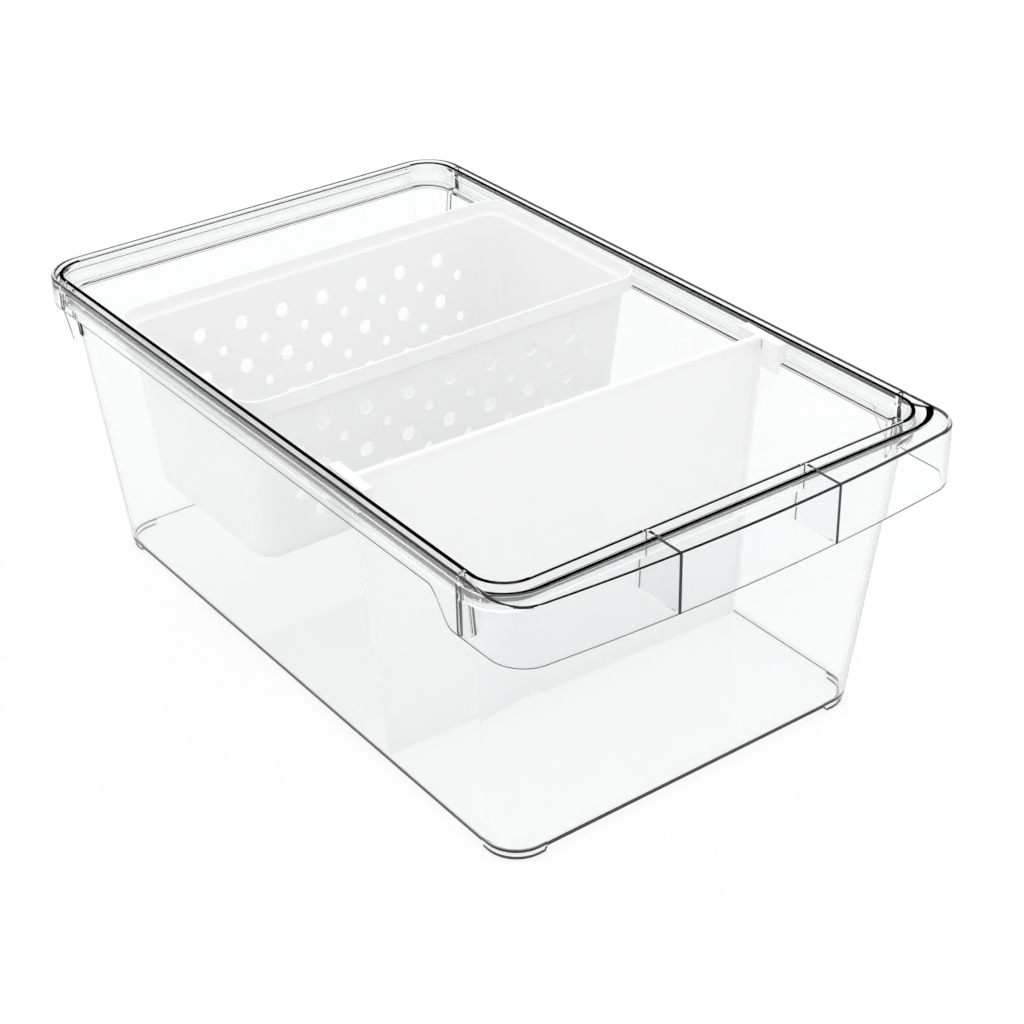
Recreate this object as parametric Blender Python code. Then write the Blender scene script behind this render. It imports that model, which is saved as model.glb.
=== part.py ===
"""Fridge drawer organizer: a clear bin with a pull handle, a hanging strainer basket and a sliding divider.

X is the width, -Y is the handle end, +Z is up. Sizes are in metres.
The origin is on the resting surface, in the middle of the bin's outline.
"""

import math

import bmesh
import bpy
from mathutils import Matrix, Vector

# Bin: collar inside the rim
RIM_INNER_WIDTH = 0.2066
RIM_INNER_LENGTH = 0.3336
RIM_INNER_RADIUS = 0.0134
RIM_TOP = 0.1383
WALL = 0.0017

# Bin: ledge that carries the basket and the divider
LEDGE_DEPTH = 0.0097
LEDGE_STEP = 0.0032
LEDGE_THICKNESS = 0.0023

# Bin: lower walls and floor
FLOOR_WIDTH = 0.1834
FLOOR_LENGTH = 0.3092
FLOOR_RADIUS = 0.0150
FLOOR_THICKNESS = 0.0020
FLOOR_EDGE_RADIUS = 0.0016

# Bin: hollow rim, an outer skirt joined to the collar by a web that dips to a valley along the collar
CHANNEL_GAP = 0.0019
VALLEY_DEPTH = 0.0049
SHOULDER_REACH = 0.0083
WEB_THICKNESS = 0.0015
SKIRT_WALL = 0.0018
SKIRT_DROP = 0.0128

# Bin: handle, where the skirt runs forward and hangs deeper
HANDLE_REACH = 0.0203
HANDLE_BOW = 0.0045
HANDLE_RADIUS = 0.0150
HANDLE_DROP = 0.0258
SWEEP_START = 0.0360
SWEEP_LENGTH = 0.0140

# Bin: upright ribs in the handle and at the four corners
RIB_THICKNESS = 0.0014
RIB_SINK = 0.0002
HANDLE_RIB_SPACING = 0.0764
CORNER_RIB_INSET = 0.0180
CORNER_RIB_DROP = 0.0280
CORNER_RIB_TAPER = 0.0022

# Bin: feet under the corners
FOOT_HEIGHT = 0.0030
FOOT_THICKNESS = 0.0022
FOOT_INSET = 0.0006
FOOT_TAIL = 0.0042

# Basket
BASKET_RIM_CLEARANCE = 0.0014
BASKET_LENGTH = 0.1106
BASKET_RIM_SINK = 0.0020
BASKET_HEIGHT = 0.0834
BASKET_RIM_RADIUS = 0.0112
BASKET_WALL = 0.0015
BASKET_WALL_CLEARANCE = 0.0013
BASKET_BODY_RADIUS = 0.0110
BASKET_EDGE_RADIUS = 0.0080
BASKET_FROM_MIDDLE = 0.0583

# Basket: drain holes through the front and back walls
HOLE_LARGE = 0.0069
HOLE_SMALL = 0.0048
HOLE_PITCH = 0.0213
HOLE_ROW_PITCH = 0.01035
HOLE_FIRST_ROW = 0.0209
HOLE_ROWS = 5
HOLES_LARGE_ROW = 7
HOLES_SMALL_ROW = 8

# Divider
DIVIDER_THICKNESS = 0.0016
DIVIDER_EDGE_THICKNESS = 0.0030
DIVIDER_EDGE_WIDTH = 0.0024
DIVIDER_WALL_CLEARANCE = 0.0020
DIVIDER_RIM_SINK = 0.0008
DIVIDER_FROM_MIDDLE = 0.0739
DIVIDER_YAW = math.radians(2.2)
HEAD_LENGTH = 0.0250
HEAD_WIDTH = 0.0050
HEAD_RIM_CLEARANCE = 0.0012
HEAD_LIP_THICKNESS = 0.0018
HEAD_LIP_DROP = 0.0043
HEAD_SLOT_WIDTH = 0.0009
HEAD_SLOT_HEIGHT = 0.0042
HEAD_SLOT_DROP = 0.0036

# Fits
SEAT_GAP = 0.0003
CUT_OVERRUN = 0.0020
WELD_DISTANCE = 0.00001

# Smoothness of the curves
CORNER_STEPS = 8
BOW_STEPS = 10
SWEEP_STEPS = 6
SHOULDER_STEPS = 4
EDGE_STEPS = 3
HOLE_SEGMENTS = 16
SMOOTH_ANGLE = math.radians(35.0)
FLATNESS = 0.000001

# Colours and surfaces
CLEAR_COLOUR = (0.93, 0.95, 0.96, 1.0)
CLEAR_ROUGHNESS = 0.03
CLEAR_TRANSMISSION = 1.0
WHITE_COLOUR = (0.88, 0.89, 0.90, 1.0)
BASKET_ROUGHNESS = 0.38
DIVIDER_ROUGHNESS = 0.32

# Derived sizes of the bin
COLLAR_HALF_WIDTH = RIM_INNER_WIDTH / 2 + WALL
COLLAR_HALF_LENGTH = RIM_INNER_LENGTH / 2 + WALL
COLLAR_RADIUS = RIM_INNER_RADIUS + WALL
SKIRT_OFFSET = CHANNEL_GAP + SKIRT_WALL
SKIRT_HALF_WIDTH = COLLAR_HALF_WIDTH + SKIRT_OFFSET
SKIRT_BACK = COLLAR_HALF_LENGTH + SKIRT_OFFSET
SKIRT_RADIUS = COLLAR_RADIUS + SKIRT_OFFSET
HANDLE_FRONT = COLLAR_HALF_LENGTH + HANDLE_REACH
LEDGE_Z = RIM_TOP - LEDGE_DEPTH
STEP_Z = LEDGE_Z - LEDGE_THICKNESS
FLOOR_Z = FOOT_HEIGHT
INNER_FLOOR_Z = FLOOR_Z + FLOOR_THICKNESS
WALL_TOP_HALF_WIDTH = COLLAR_HALF_WIDTH - LEDGE_STEP
WALL_TOP_HALF_LENGTH = COLLAR_HALF_LENGTH - LEDGE_STEP
FRAME_SHIFT = (HANDLE_FRONT - SKIRT_BACK) / 2

# Derived sizes of the basket
BASKET_HALF_WIDTH = RIM_INNER_WIDTH / 2 - BASKET_RIM_CLEARANCE
BASKET_RIM_TOP = RIM_TOP - BASKET_RIM_SINK
BASKET_SEAT = LEDGE_Z + SEAT_GAP

# Directions
SIDES = {"left": -1, "right": 1}
ENDS = {"front": -1, "back": 1}
FACING_Z = Matrix.Identity(4)
FACING_X = Matrix(((0, 0, 1, 0), (1, 0, 0, 0), (0, 1, 0, 0), (0, 0, 0, 1)))
FACING_Y = Matrix(((1, 0, 0, 0), (0, 0, -1, 0), (0, 1, 0, 0), (0, 0, 0, 1)))


def material(name, colour, roughness, transmission=0.0):
    made = bpy.data.materials.new(name)
    made.use_nodes = True
    shader = made.node_tree.nodes["Principled BSDF"]
    shader.inputs["Base Color"].default_value = colour
    shader.inputs["Roughness"].default_value = roughness
    shader.inputs["Metallic"].default_value = 0.0
    shader.inputs["Transmission Weight"].default_value = transmission
    return made


def new_object(name, mesh, collection, surface=None):
    made = bpy.data.objects.new(name, mesh)
    collection.objects.link(made)
    if surface:
        mesh.materials.append(surface)
    return made


def mesh_from(bm, name):
    bmesh.ops.remove_doubles(bm, verts=bm.verts, dist=WELD_DISTANCE)
    bmesh.ops.recalc_face_normals(bm, faces=bm.faces)
    mesh = bpy.data.meshes.new(name)
    bm.to_mesh(mesh)
    bm.free()
    return mesh


def smooth(obj):
    obj.data.shade_smooth()
    obj.data.set_sharp_from_angle(angle=SMOOTH_ANGLE)


def boolean(obj, tool, operation):
    """Joins a shape to the object or cuts it away; the shape itself is only a guide."""
    step = obj.modifiers.new(tool.name, "BOOLEAN")
    step.operation = operation
    step.solver = "EXACT"
    step.object = tool
    tool.hide_render = True
    tool.display_type = "WIRE"
    return step


def arc(centre, radius, start, end, steps):
    points = []
    for i in range(steps + 1):
        angle = start + (end - start) * i / steps
        points.append((centre[0] + radius * math.cos(angle), centre[1] + radius * math.sin(angle)))
    return points


def outline(half_width, front, back, radius, front_radius=None, bow=0.0, side_shares=()):
    """Rounded rectangle, anticlockwise from the front left corner, with a front edge that may bow outward."""
    front_radius = front_radius or radius
    straight = half_width - front_radius
    lean = math.atan2(2 * bow, straight)
    front_centre = -front + bow + front_radius * math.cos(lean)
    back_centre = back - radius
    quarter = math.pi / 2
    left = arc((-straight, front_centre), front_radius, -2 * quarter, -quarter - lean, CORNER_STEPS)
    edge_end = -left[-1][0]
    edge = []
    for i in range(1, BOW_STEPS):
        x = edge_end * (2 * i / BOW_STEPS - 1)
        edge.append((x, -front + bow * (x / edge_end) ** 2))
    right = [(-x, y) for x, y in reversed(left)]
    run = back_centre - front_centre
    side = [(half_width, front_centre + run * share) for share in side_shares]
    back_right = arc((half_width - radius, back_centre), radius, 0.0, quarter, CORNER_STEPS)
    back_left = [(-x, y) for x, y in reversed(back_right)]
    return left + edge + right + side + back_right + back_left + [(-x, y) for x, y in reversed(side)]


def add_ring(bm, points, heights):
    return [bm.verts.new((x, y, z)) for (x, y), z in zip(points, heights)]


def is_uneven(face):
    """Whether the face's corners miss its mean plane."""
    middle = face.calc_center_median()
    return any(abs((vert.co - middle).dot(face.normal)) > FLATNESS for vert in face.verts)


def joined(meshes, name):
    """One mesh of several bodies that stand apart."""
    bm = bmesh.new()
    for mesh in meshes:
        bm.from_mesh(mesh)
    return mesh_from(bm, name)


def loft(rings, name):
    """Closed body through rings of equal counts, capped by its first and last ring."""
    bm = bmesh.new()
    made = []
    for points, height in rings:
        heights = height if isinstance(height, list) else [height] * len(points)
        made.append(add_ring(bm, points, heights))
    for lower, upper in zip(made, made[1:]):
        count = len(lower)
        for i in range(count):
            j = (i + 1) % count
            bm.faces.new((lower[i], lower[j], upper[j], upper[i]))
    bm.faces.new(list(reversed(made[0])))
    bm.faces.new(made[-1])
    bm.normal_update()
    bmesh.ops.triangulate(bm, faces=[face for face in bm.faces if is_uneven(face)])
    return mesh_from(bm, name)


def plate(points, thickness, facing, centre, name):
    """Flat outline drawn in its own X and Y, thickened evenly about its plane, turned and placed."""
    curve = bpy.data.curves.new(name, "CURVE")
    curve.dimensions = "2D"
    curve.fill_mode = "BOTH"
    curve.extrude = thickness / 2
    spline = curve.splines.new("POLY")
    spline.points.add(len(points) - 1)
    for point, (x, y) in zip(spline.points, points):
        point.co = (x, y, 0.0, 1.0)
    spline.use_cyclic_u = True
    drawn = bpy.data.objects.new(name, curve)
    bpy.context.scene.collection.objects.link(drawn)
    filled = drawn.evaluated_get(bpy.context.evaluated_depsgraph_get())
    bm = bmesh.new()
    bm.from_mesh(bpy.data.meshes.new_from_object(filled))
    bpy.data.objects.remove(drawn)
    bmesh.ops.transform(bm, verts=bm.verts, matrix=Matrix.Translation(centre) @ facing)
    return mesh_from(bm, name)


def box(size, centre, name):
    bm = bmesh.new()
    bmesh.ops.create_cube(bm, size=1.0, matrix=Matrix.Translation(centre) @ Matrix.Diagonal((*size, 1.0)))
    return mesh_from(bm, name)


def wall_inset(z):
    """How far the outside of a lower wall has come in, as a share, between the step and the floor."""
    return (STEP_Z - z) / (STEP_Z - FLOOR_Z)


def wall_half_width(z):
    return WALL_TOP_HALF_WIDTH + (FLOOR_WIDTH / 2 - WALL_TOP_HALF_WIDTH) * wall_inset(z)


def wall_half_length(z):
    return WALL_TOP_HALF_LENGTH + (FLOOR_LENGTH / 2 - WALL_TOP_HALF_LENGTH) * wall_inset(z)


def sweep_positions():
    """Distances along Y at which the lower edge of the skirt is drawn as it falls towards the handle."""
    start = -COLLAR_HALF_LENGTH + SWEEP_START
    return [start - SWEEP_LENGTH * (1 - i / SWEEP_STEPS) for i in range(SWEEP_STEPS + 1)]


def side_shares():
    centre = -HANDLE_FRONT + HANDLE_BOW + HANDLE_RADIUS
    run = SKIRT_BACK - SKIRT_RADIUS - centre
    return [(y - centre) / run for y in sweep_positions()]


def skirt_drop(y):
    """Depth of the skirt below the rim at a place along the side."""
    start = -COLLAR_HALF_LENGTH + SWEEP_START
    share = min(1.0, max(0.0, (start - y) / SWEEP_LENGTH))
    eased = share * share * (3 - 2 * share)
    return SKIRT_DROP + (HANDLE_DROP - SKIRT_DROP) * eased


def wall_ring(inset, z, radius):
    return outline(
        wall_half_width(z) - inset,
        wall_half_length(z) - inset,
        wall_half_length(z) - inset,
        radius - inset,
        side_shares=side_shares(),
    )


def collar_ring(inset):
    return outline(
        COLLAR_HALF_WIDTH - inset,
        COLLAR_HALF_LENGTH - inset,
        COLLAR_HALF_LENGTH - inset,
        COLLAR_RADIUS - inset,
        side_shares=side_shares(),
    )


def skirt_ring(inset):
    return outline(
        SKIRT_HALF_WIDTH - inset,
        HANDLE_FRONT - inset,
        SKIRT_BACK - inset,
        SKIRT_RADIUS - inset,
        front_radius=HANDLE_RADIUS - inset,
        bow=HANDLE_BOW,
        side_shares=side_shares(),
    )


def web_height(x, y):
    """Top of the web at a place: it rises in a curve from the foot of the collar to the level of the rim."""
    across = max(abs(x) - COLLAR_HALF_WIDTH + COLLAR_RADIUS, 0.0)
    along = max(abs(y) - COLLAR_HALF_LENGTH + COLLAR_RADIUS, 0.0)
    away = math.hypot(across, along) - COLLAR_RADIUS
    return RIM_TOP - VALLEY_DEPTH * max(0.0, 1 - away / SHOULDER_REACH) ** 2


def web_rings(drop):
    """Rings of the web from the collar out to the inside of the skirt, at a depth below its top."""
    rings = []
    for i in range(SHOULDER_STEPS + 1):
        points = []
        for (x, y), (far_x, far_y) in zip(collar_ring(0.0), skirt_ring(SKIRT_WALL)):
            gap = math.hypot(far_x - x, far_y - y)
            share = min(1.0, SHOULDER_REACH * i / SHOULDER_STEPS / gap)
            points.append((x + (far_x - x) * share, y + (far_y - y) * share))
        rings.append((points, [web_height(x, y) - drop for x, y in points]))
    points = skirt_ring(SKIRT_WALL)
    rings.append((points, [web_height(x, y) - drop for x, y in points]))
    return rings


def floor_edge(z, upward, inset, radius):
    """Rings of the small round between the floor and the walls."""
    rings = []
    for i in range(EDGE_STEPS + 1):
        angle = math.pi / 2 * i / EDGE_STEPS
        inward = FLOOR_EDGE_RADIUS * (1 - math.sin(angle))
        height = z + FLOOR_EDGE_RADIUS * (1 - math.cos(angle))
        rings.append((wall_ring(inset + inward, height, radius), height))
    return rings if upward else list(reversed(rings))


def bin_shell():
    skirt_outer = skirt_ring(0.0)
    skirt_inner = skirt_ring(SKIRT_WALL)
    lower_edge = [RIM_TOP - skirt_drop(y) for _, y in skirt_outer]
    lower_edge_inner = [RIM_TOP - skirt_drop(y) for _, y in skirt_inner]
    rings = floor_edge(FLOOR_Z, True, 0.0, FLOOR_RADIUS)
    rings += [
        (wall_ring(0.0, STEP_Z, COLLAR_RADIUS), STEP_Z),
        (collar_ring(0.0), STEP_Z),
    ]
    rings += web_rings(WEB_THICKNESS)
    rings += [
        (skirt_inner, lower_edge_inner),
        (skirt_outer, lower_edge),
        (skirt_outer, RIM_TOP),
        (skirt_inner, RIM_TOP),
    ]
    rings += reversed(web_rings(0.0))
    rings += [
        (collar_ring(0.0), RIM_TOP),
        (collar_ring(WALL), RIM_TOP),
        (collar_ring(WALL), LEDGE_Z),
        (wall_ring(WALL, LEDGE_Z, COLLAR_RADIUS), LEDGE_Z),
    ]
    rings += floor_edge(INNER_FLOOR_Z, False, WALL, FLOOR_RADIUS)
    return loft(rings, "bin")


def handle_rib(side, name):
    """Upright plate across the handle, from the rim to the skirt's lower edge."""
    bottom = RIM_TOP - HANDLE_DROP + RIB_SINK
    x = side * HANDLE_RIB_SPACING / 2
    skirt_y = -HANDLE_FRONT + HANDLE_BOW * (x / (SKIRT_HALF_WIDTH - HANDLE_RADIUS)) ** 2 + SKIRT_WALL / 2
    collar_y = -COLLAR_HALF_LENGTH + WALL / 2
    points = [
        (skirt_y, bottom),
        (-wall_half_length(bottom) + WALL / 2, bottom),
        (-wall_half_length(STEP_Z) + WALL / 2, STEP_Z - RIB_SINK),
        (collar_y, STEP_Z + RIB_SINK),
        (collar_y, RIM_TOP - RIB_SINK),
        (skirt_y, RIM_TOP - RIB_SINK),
    ]
    return plate(points, RIB_THICKNESS, FACING_X, (x, 0.0, 0.0), name)


def corner_rib(side, end, name):
    """Upright plate on a side wall near a corner, from the rim down past the skirt."""
    drop = HANDLE_DROP if end < 0 else SKIRT_DROP
    bottom = RIM_TOP - CORNER_RIB_DROP
    skirt_x = SKIRT_HALF_WIDTH - SKIRT_WALL / 2
    collar_x = COLLAR_HALF_WIDTH - WALL / 2
    points = [
        (skirt_x, RIM_TOP - RIB_SINK),
        (collar_x, RIM_TOP - RIB_SINK),
        (collar_x, STEP_Z + RIB_SINK),
        (wall_half_width(STEP_Z) - WALL / 2, STEP_Z - RIB_SINK),
        (wall_half_width(bottom) - WALL / 2, bottom),
        (skirt_x - SKIRT_WALL / 2 - CORNER_RIB_TAPER, bottom),
        (skirt_x, RIM_TOP - drop + RIB_SINK),
    ]
    points = [(side * px, pz) for px, pz in points]
    y = end * (COLLAR_HALF_LENGTH - CORNER_RIB_INSET)
    return plate(points, RIB_THICKNESS, FACING_Y, (0.0, y, 0.0), name)


def foot(side, end, name):
    """Low curved wall that follows a floor corner."""
    radius = FLOOR_RADIUS - FOOT_INSET
    centre = (FLOOR_WIDTH / 2 - FLOOR_RADIUS, FLOOR_LENGTH / 2 - FLOOR_RADIUS)
    outer = arc(centre, radius, 0.0, math.pi / 2, CORNER_STEPS)
    inner = arc(centre, radius - FOOT_THICKNESS, math.pi / 2, 0.0, CORNER_STEPS)
    tail_side = [(inner[-1][0], centre[1] - FOOT_TAIL), (outer[0][0], centre[1] - FOOT_TAIL)]
    tail_end = [(centre[0] - FOOT_TAIL, outer[-1][1]), (centre[0] - FOOT_TAIL, inner[0][1])]
    points = [(side * x, end * y) for x, y in outer + tail_end + inner + tail_side]
    height = FOOT_HEIGHT + FLOOR_THICKNESS / 2
    return plate(points, height, FACING_Z, (0.0, 0.0, height / 2), name)


def make_bin(collection, tools):
    surface = material("clear_plastic", CLEAR_COLOUR, CLEAR_ROUGHNESS, transmission=CLEAR_TRANSMISSION)
    made = new_object("bin", bin_shell(), collection, surface)
    made.location.y = FRAME_SHIFT
    added = []
    for side_name, side in SIDES.items():
        added.append(handle_rib(side, f"handle_rib_{side_name}"))
        for end_name, end in ENDS.items():
            added.append(corner_rib(side, end, f"corner_rib_{end_name}_{side_name}"))
            added.append(foot(side, end, f"foot_{end_name}_{side_name}"))
    tool = new_object("ribs_and_feet", joined(added, "ribs_and_feet"), tools)
    tool.location = made.location
    boolean(made, tool, "UNION")
    smooth(made)
    return made


def basket_ring(inset, radius):
    half_length = BASKET_LENGTH / 2 - inset
    return outline(BASKET_HALF_WIDTH - inset, half_length, half_length, radius)


def basket_inset(z):
    """How far the basket's body stands in from its rim, so that it keeps clear of the bin's sloping walls."""
    body_half_width = wall_half_width(z + BASKET_RIM_TOP) - WALL - BASKET_WALL_CLEARANCE
    return BASKET_HALF_WIDTH - body_half_width


def basket_edge(bottom, wall, upward):
    """Rings of the round between the basket's floor and its walls, at a depth of wall inside the surface."""
    radius = BASKET_EDGE_RADIUS - wall
    rings = []
    for i in range(EDGE_STEPS + 2):
        angle = math.pi / 2 * i / (EDGE_STEPS + 1)
        inward = radius * (1 - math.sin(angle))
        height = bottom + wall + radius * (1 - math.cos(angle))
        corner = BASKET_BODY_RADIUS - wall - inward / 2
        rings.append((basket_ring(basket_inset(height) + wall + inward, corner), height))
    return rings if upward else list(reversed(rings))


def basket_shell():
    rim = 0.0
    seat = BASKET_SEAT - BASKET_RIM_TOP
    inner_seat = seat + BASKET_WALL
    body_radius = BASKET_BODY_RADIUS
    rings = basket_edge(-BASKET_HEIGHT, 0.0, True)
    rings += [
        (basket_ring(basket_inset(seat), body_radius), seat),
        (basket_ring(0.0, BASKET_RIM_RADIUS), seat),
        (basket_ring(0.0, BASKET_RIM_RADIUS), rim),
        (basket_ring(BASKET_WALL, BASKET_RIM_RADIUS - BASKET_WALL), rim),
        (basket_ring(BASKET_WALL, BASKET_RIM_RADIUS - BASKET_WALL), inner_seat),
        (basket_ring(basket_inset(inner_seat) + BASKET_WALL, body_radius - BASKET_WALL), inner_seat),
    ]
    rings += basket_edge(-BASKET_HEIGHT, BASKET_WALL, False)
    return loft(rings, "basket")


def hole_places():
    """Places and widths of the staggered holes, rows of large and small ones in turn."""
    places = []
    for row in range(HOLE_ROWS):
        large = row % 2 == 0
        count = HOLES_LARGE_ROW if large else HOLES_SMALL_ROW
        width = HOLE_LARGE if large else HOLE_SMALL
        z = -HOLE_FIRST_ROW - HOLE_ROW_PITCH * row
        for i in range(count):
            places.append((HOLE_PITCH * (i - (count - 1) / 2), z, width))
    return places


def basket_holes():
    bm = bmesh.new()
    turn = Matrix.Rotation(math.pi / 2, 4, "X")
    for x, z, width in hole_places():
        bmesh.ops.create_cone(
            bm,
            cap_ends=True,
            segments=HOLE_SEGMENTS,
            radius1=width / 2,
            radius2=width / 2,
            depth=BASKET_LENGTH + CUT_OVERRUN,
            matrix=Matrix.Translation((x, 0.0, z)) @ turn,
        )
    return mesh_from(bm, "basket_holes")


def make_basket(collection, tools):
    surface = material("basket_plastic", WHITE_COLOUR, BASKET_ROUGHNESS)
    made = new_object("basket", basket_shell(), collection, surface)
    made.location = (0.0, BASKET_FROM_MIDDLE + FRAME_SHIFT, BASKET_RIM_TOP)
    holes = new_object("basket_holes", basket_holes(), tools)
    holes.location = made.location
    boolean(made, holes, "DIFFERENCE")
    smooth(made)
    return made


def divider_half_width(z):
    """Half width of the divider panel at a height, parallel to the bin's side walls."""
    return wall_half_width(z) - WALL - DIVIDER_WALL_CLEARANCE


def divider_outline(inset):
    """Panel outline in X and Z, from the floor to the top bead."""
    bottom = INNER_FLOOR_Z + SEAT_GAP
    neck = LEDGE_Z - SEAT_GAP
    top = RIM_TOP - DIVIDER_RIM_SINK
    right = [
        (divider_half_width(bottom) - inset, bottom),
        (divider_half_width(neck) - inset, neck),
        (divider_half_width(neck) - inset, top),
    ]
    return right, [(-x, z) for x, z in reversed(right)]


def divider_panel(name):
    right, left = divider_outline(0.0)
    return plate(right + left, DIVIDER_THICKNESS, FACING_Y, (0.0, 0.0, 0.0), name)


def divider_bead(name):
    """Thicker strip along the top."""
    top = RIM_TOP - DIVIDER_RIM_SINK
    half = divider_half_width(LEDGE_Z)
    size = (2 * half - RIB_SINK, DIVIDER_EDGE_THICKNESS, DIVIDER_EDGE_WIDTH)
    return box(size, Vector((0.0, 0.0, top - DIVIDER_EDGE_WIDTH / 2 + RIB_SINK)), name)


def divider_side_rib(side, name):
    """Thicker strip down a side edge."""
    outer, _ = divider_outline(-RIB_SINK)
    inner, _ = divider_outline(DIVIDER_EDGE_WIDTH)
    low = RIB_SINK
    points = [(outer[0][0], outer[0][1] + low), (outer[1][0], outer[1][1])]
    points += [(inner[1][0], inner[1][1]), (inner[0][0], inner[0][1] + low)]
    points = [(side * x, z) for x, z in points]
    return plate(points, DIVIDER_EDGE_THICKNESS, FACING_Y, (0.0, 0.0, 0.0), name)


def head_outer():
    return RIM_INNER_WIDTH / 2 - HEAD_RIM_CLEARANCE


def divider_head(side, name):
    """Crosswise head that rests on the ledge."""
    top = RIM_TOP - DIVIDER_RIM_SINK + RIB_SINK
    bottom = LEDGE_Z + SEAT_GAP
    x = side * (head_outer() - HEAD_WIDTH / 2)
    return box((HEAD_WIDTH, HEAD_LENGTH, top - bottom), Vector((x, 0.0, (top + bottom) / 2)), name)


def head_lip(side, name):
    """Short lip below the head, just inside the ledge, that keeps the divider on its track."""
    top = LEDGE_Z + SEAT_GAP + RIB_SINK
    bottom = LEDGE_Z - HEAD_LIP_DROP
    x = side * (head_outer() - HEAD_WIDTH + HEAD_LIP_THICKNESS / 2 + RIB_SINK)
    size = (HEAD_LIP_THICKNESS, HEAD_LENGTH - RIB_SINK, top - bottom)
    return box(size, Vector((x, 0.0, (top + bottom) / 2)), name)


def head_slot(side, name):
    """Small upright slot where the head meets the panel."""
    x = side * (head_outer() - HEAD_WIDTH / 2)
    z = RIM_TOP - DIVIDER_RIM_SINK - HEAD_SLOT_DROP - HEAD_SLOT_HEIGHT / 2
    return box((HEAD_SLOT_WIDTH, HEAD_LENGTH + CUT_OVERRUN, HEAD_SLOT_HEIGHT), Vector((x, 0.0, z)), name)


def make_divider(collection, tools):
    surface = material("divider_plastic", WHITE_COLOUR, DIVIDER_ROUGHNESS)
    made = new_object("divider", divider_panel("divider"), collection, surface)
    made.location = (0.0, FRAME_SHIFT - DIVIDER_FROM_MIDDLE, 0.0)
    made.rotation_euler.z = -DIVIDER_YAW
    steps = [(divider_bead("divider_bead"), "UNION")]
    for side_name, side in SIDES.items():
        steps.append((divider_side_rib(side, f"divider_side_rib_{side_name}"), "UNION"))
        steps.append((divider_head(side, f"divider_head_{side_name}"), "UNION"))
        steps.append((head_lip(side, f"head_lip_{side_name}"), "UNION"))
    for side_name, side in SIDES.items():
        steps.append((head_slot(side, f"head_slot_{side_name}"), "DIFFERENCE"))
    for mesh, operation in steps:
        tool = new_object(mesh.name, mesh, tools)
        tool.location = made.location
        tool.rotation_euler = made.rotation_euler
        boolean(made, tool, operation)
    smooth(made)
    return made


def clear_scene():
    for obj in list(bpy.data.objects):
        bpy.data.objects.remove(obj, do_unlink=True)


def main():
    clear_scene()
    collection = bpy.data.collections.new("fridge_drawer_organizer")
    tools = bpy.data.collections.new("cutters")
    bpy.context.scene.collection.children.link(collection)
    bpy.context.scene.collection.children.link(tools)
    make_bin(collection, tools)
    make_basket(collection, tools)
    make_divider(collection, tools)


main()
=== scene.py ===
"""Fridge drawer organizer: a clear bin with a hanging basket and a sliding divider."""

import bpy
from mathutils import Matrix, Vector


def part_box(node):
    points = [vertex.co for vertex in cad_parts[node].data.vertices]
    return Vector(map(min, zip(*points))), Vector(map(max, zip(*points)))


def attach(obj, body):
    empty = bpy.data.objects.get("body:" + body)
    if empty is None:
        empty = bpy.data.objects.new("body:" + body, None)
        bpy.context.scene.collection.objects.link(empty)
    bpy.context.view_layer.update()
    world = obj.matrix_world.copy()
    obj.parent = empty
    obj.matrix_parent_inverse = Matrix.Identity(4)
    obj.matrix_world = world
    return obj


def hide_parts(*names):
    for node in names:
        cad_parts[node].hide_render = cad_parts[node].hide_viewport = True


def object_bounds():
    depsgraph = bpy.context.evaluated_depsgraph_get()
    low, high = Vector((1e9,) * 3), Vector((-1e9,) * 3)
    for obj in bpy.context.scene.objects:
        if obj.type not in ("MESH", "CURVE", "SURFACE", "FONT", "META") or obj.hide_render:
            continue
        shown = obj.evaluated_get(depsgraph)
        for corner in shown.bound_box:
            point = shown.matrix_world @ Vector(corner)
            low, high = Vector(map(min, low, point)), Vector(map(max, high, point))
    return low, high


bl_info = {
    "name": "Fridge Drawer Organizer",
    "version": (1, 0, 0),
    "blender": (4, 5, 0),
    "location": "3D View > Sidebar > Organizer",
    "description": "Models a clear fridge bin with its basket and divider around the packed frame",
    "category": "Add Mesh",
}

import math

import bmesh
import bpy
from bpy.props import FloatProperty, FloatVectorProperty, IntProperty, PointerProperty
from mathutils import Matrix, Vector

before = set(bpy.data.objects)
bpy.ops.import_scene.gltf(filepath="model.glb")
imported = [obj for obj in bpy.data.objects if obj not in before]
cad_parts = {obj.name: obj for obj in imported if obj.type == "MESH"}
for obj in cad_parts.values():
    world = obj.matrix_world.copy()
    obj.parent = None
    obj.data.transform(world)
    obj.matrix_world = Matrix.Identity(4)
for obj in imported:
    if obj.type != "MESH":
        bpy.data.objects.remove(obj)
CAD_LOW, CAD_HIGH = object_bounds()
BASKET_LOW, BASKET_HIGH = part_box("basket")
DIVIDER_LOW, DIVIDER_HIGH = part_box("divider")

MM = 0.001
TOLERANCE = 0.00001
FLAT_ANGLE = math.radians(12.0)
SMOOTH_ANGLE = math.radians(38.0)
CORNER_SEGMENTS = 16
BOWL_SEGMENTS = 15
PLUG_SEGMENTS = 13
SWEEP_STEPS = 10
SHOULDER_STEPS = 6
ROUND_STEPS = 4
BOW_CUTS = 19
FOOT_STEPS = 12
BASKET_SEGMENTS = 10
HOLE_VERTICES = 32
CAP_CORNERS = 12
# Height on the sky, from level to overhead, and how bright it looks in the clear plastic
SKY_STOPS = (
    (0.0, 1.0),
    (0.45, 1.0),
    (0.52, 0.92),
    (0.72, 0.92),
    (0.8, 0.05),
    (1.0, 0.05),
)
# How level a face of the bin is, as the height of its normal
STEEP = 0.75
NEARLY_UPRIGHT = 0.5
UNDERSIDE = -0.98
SIDEWAYS = -0.1
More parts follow.
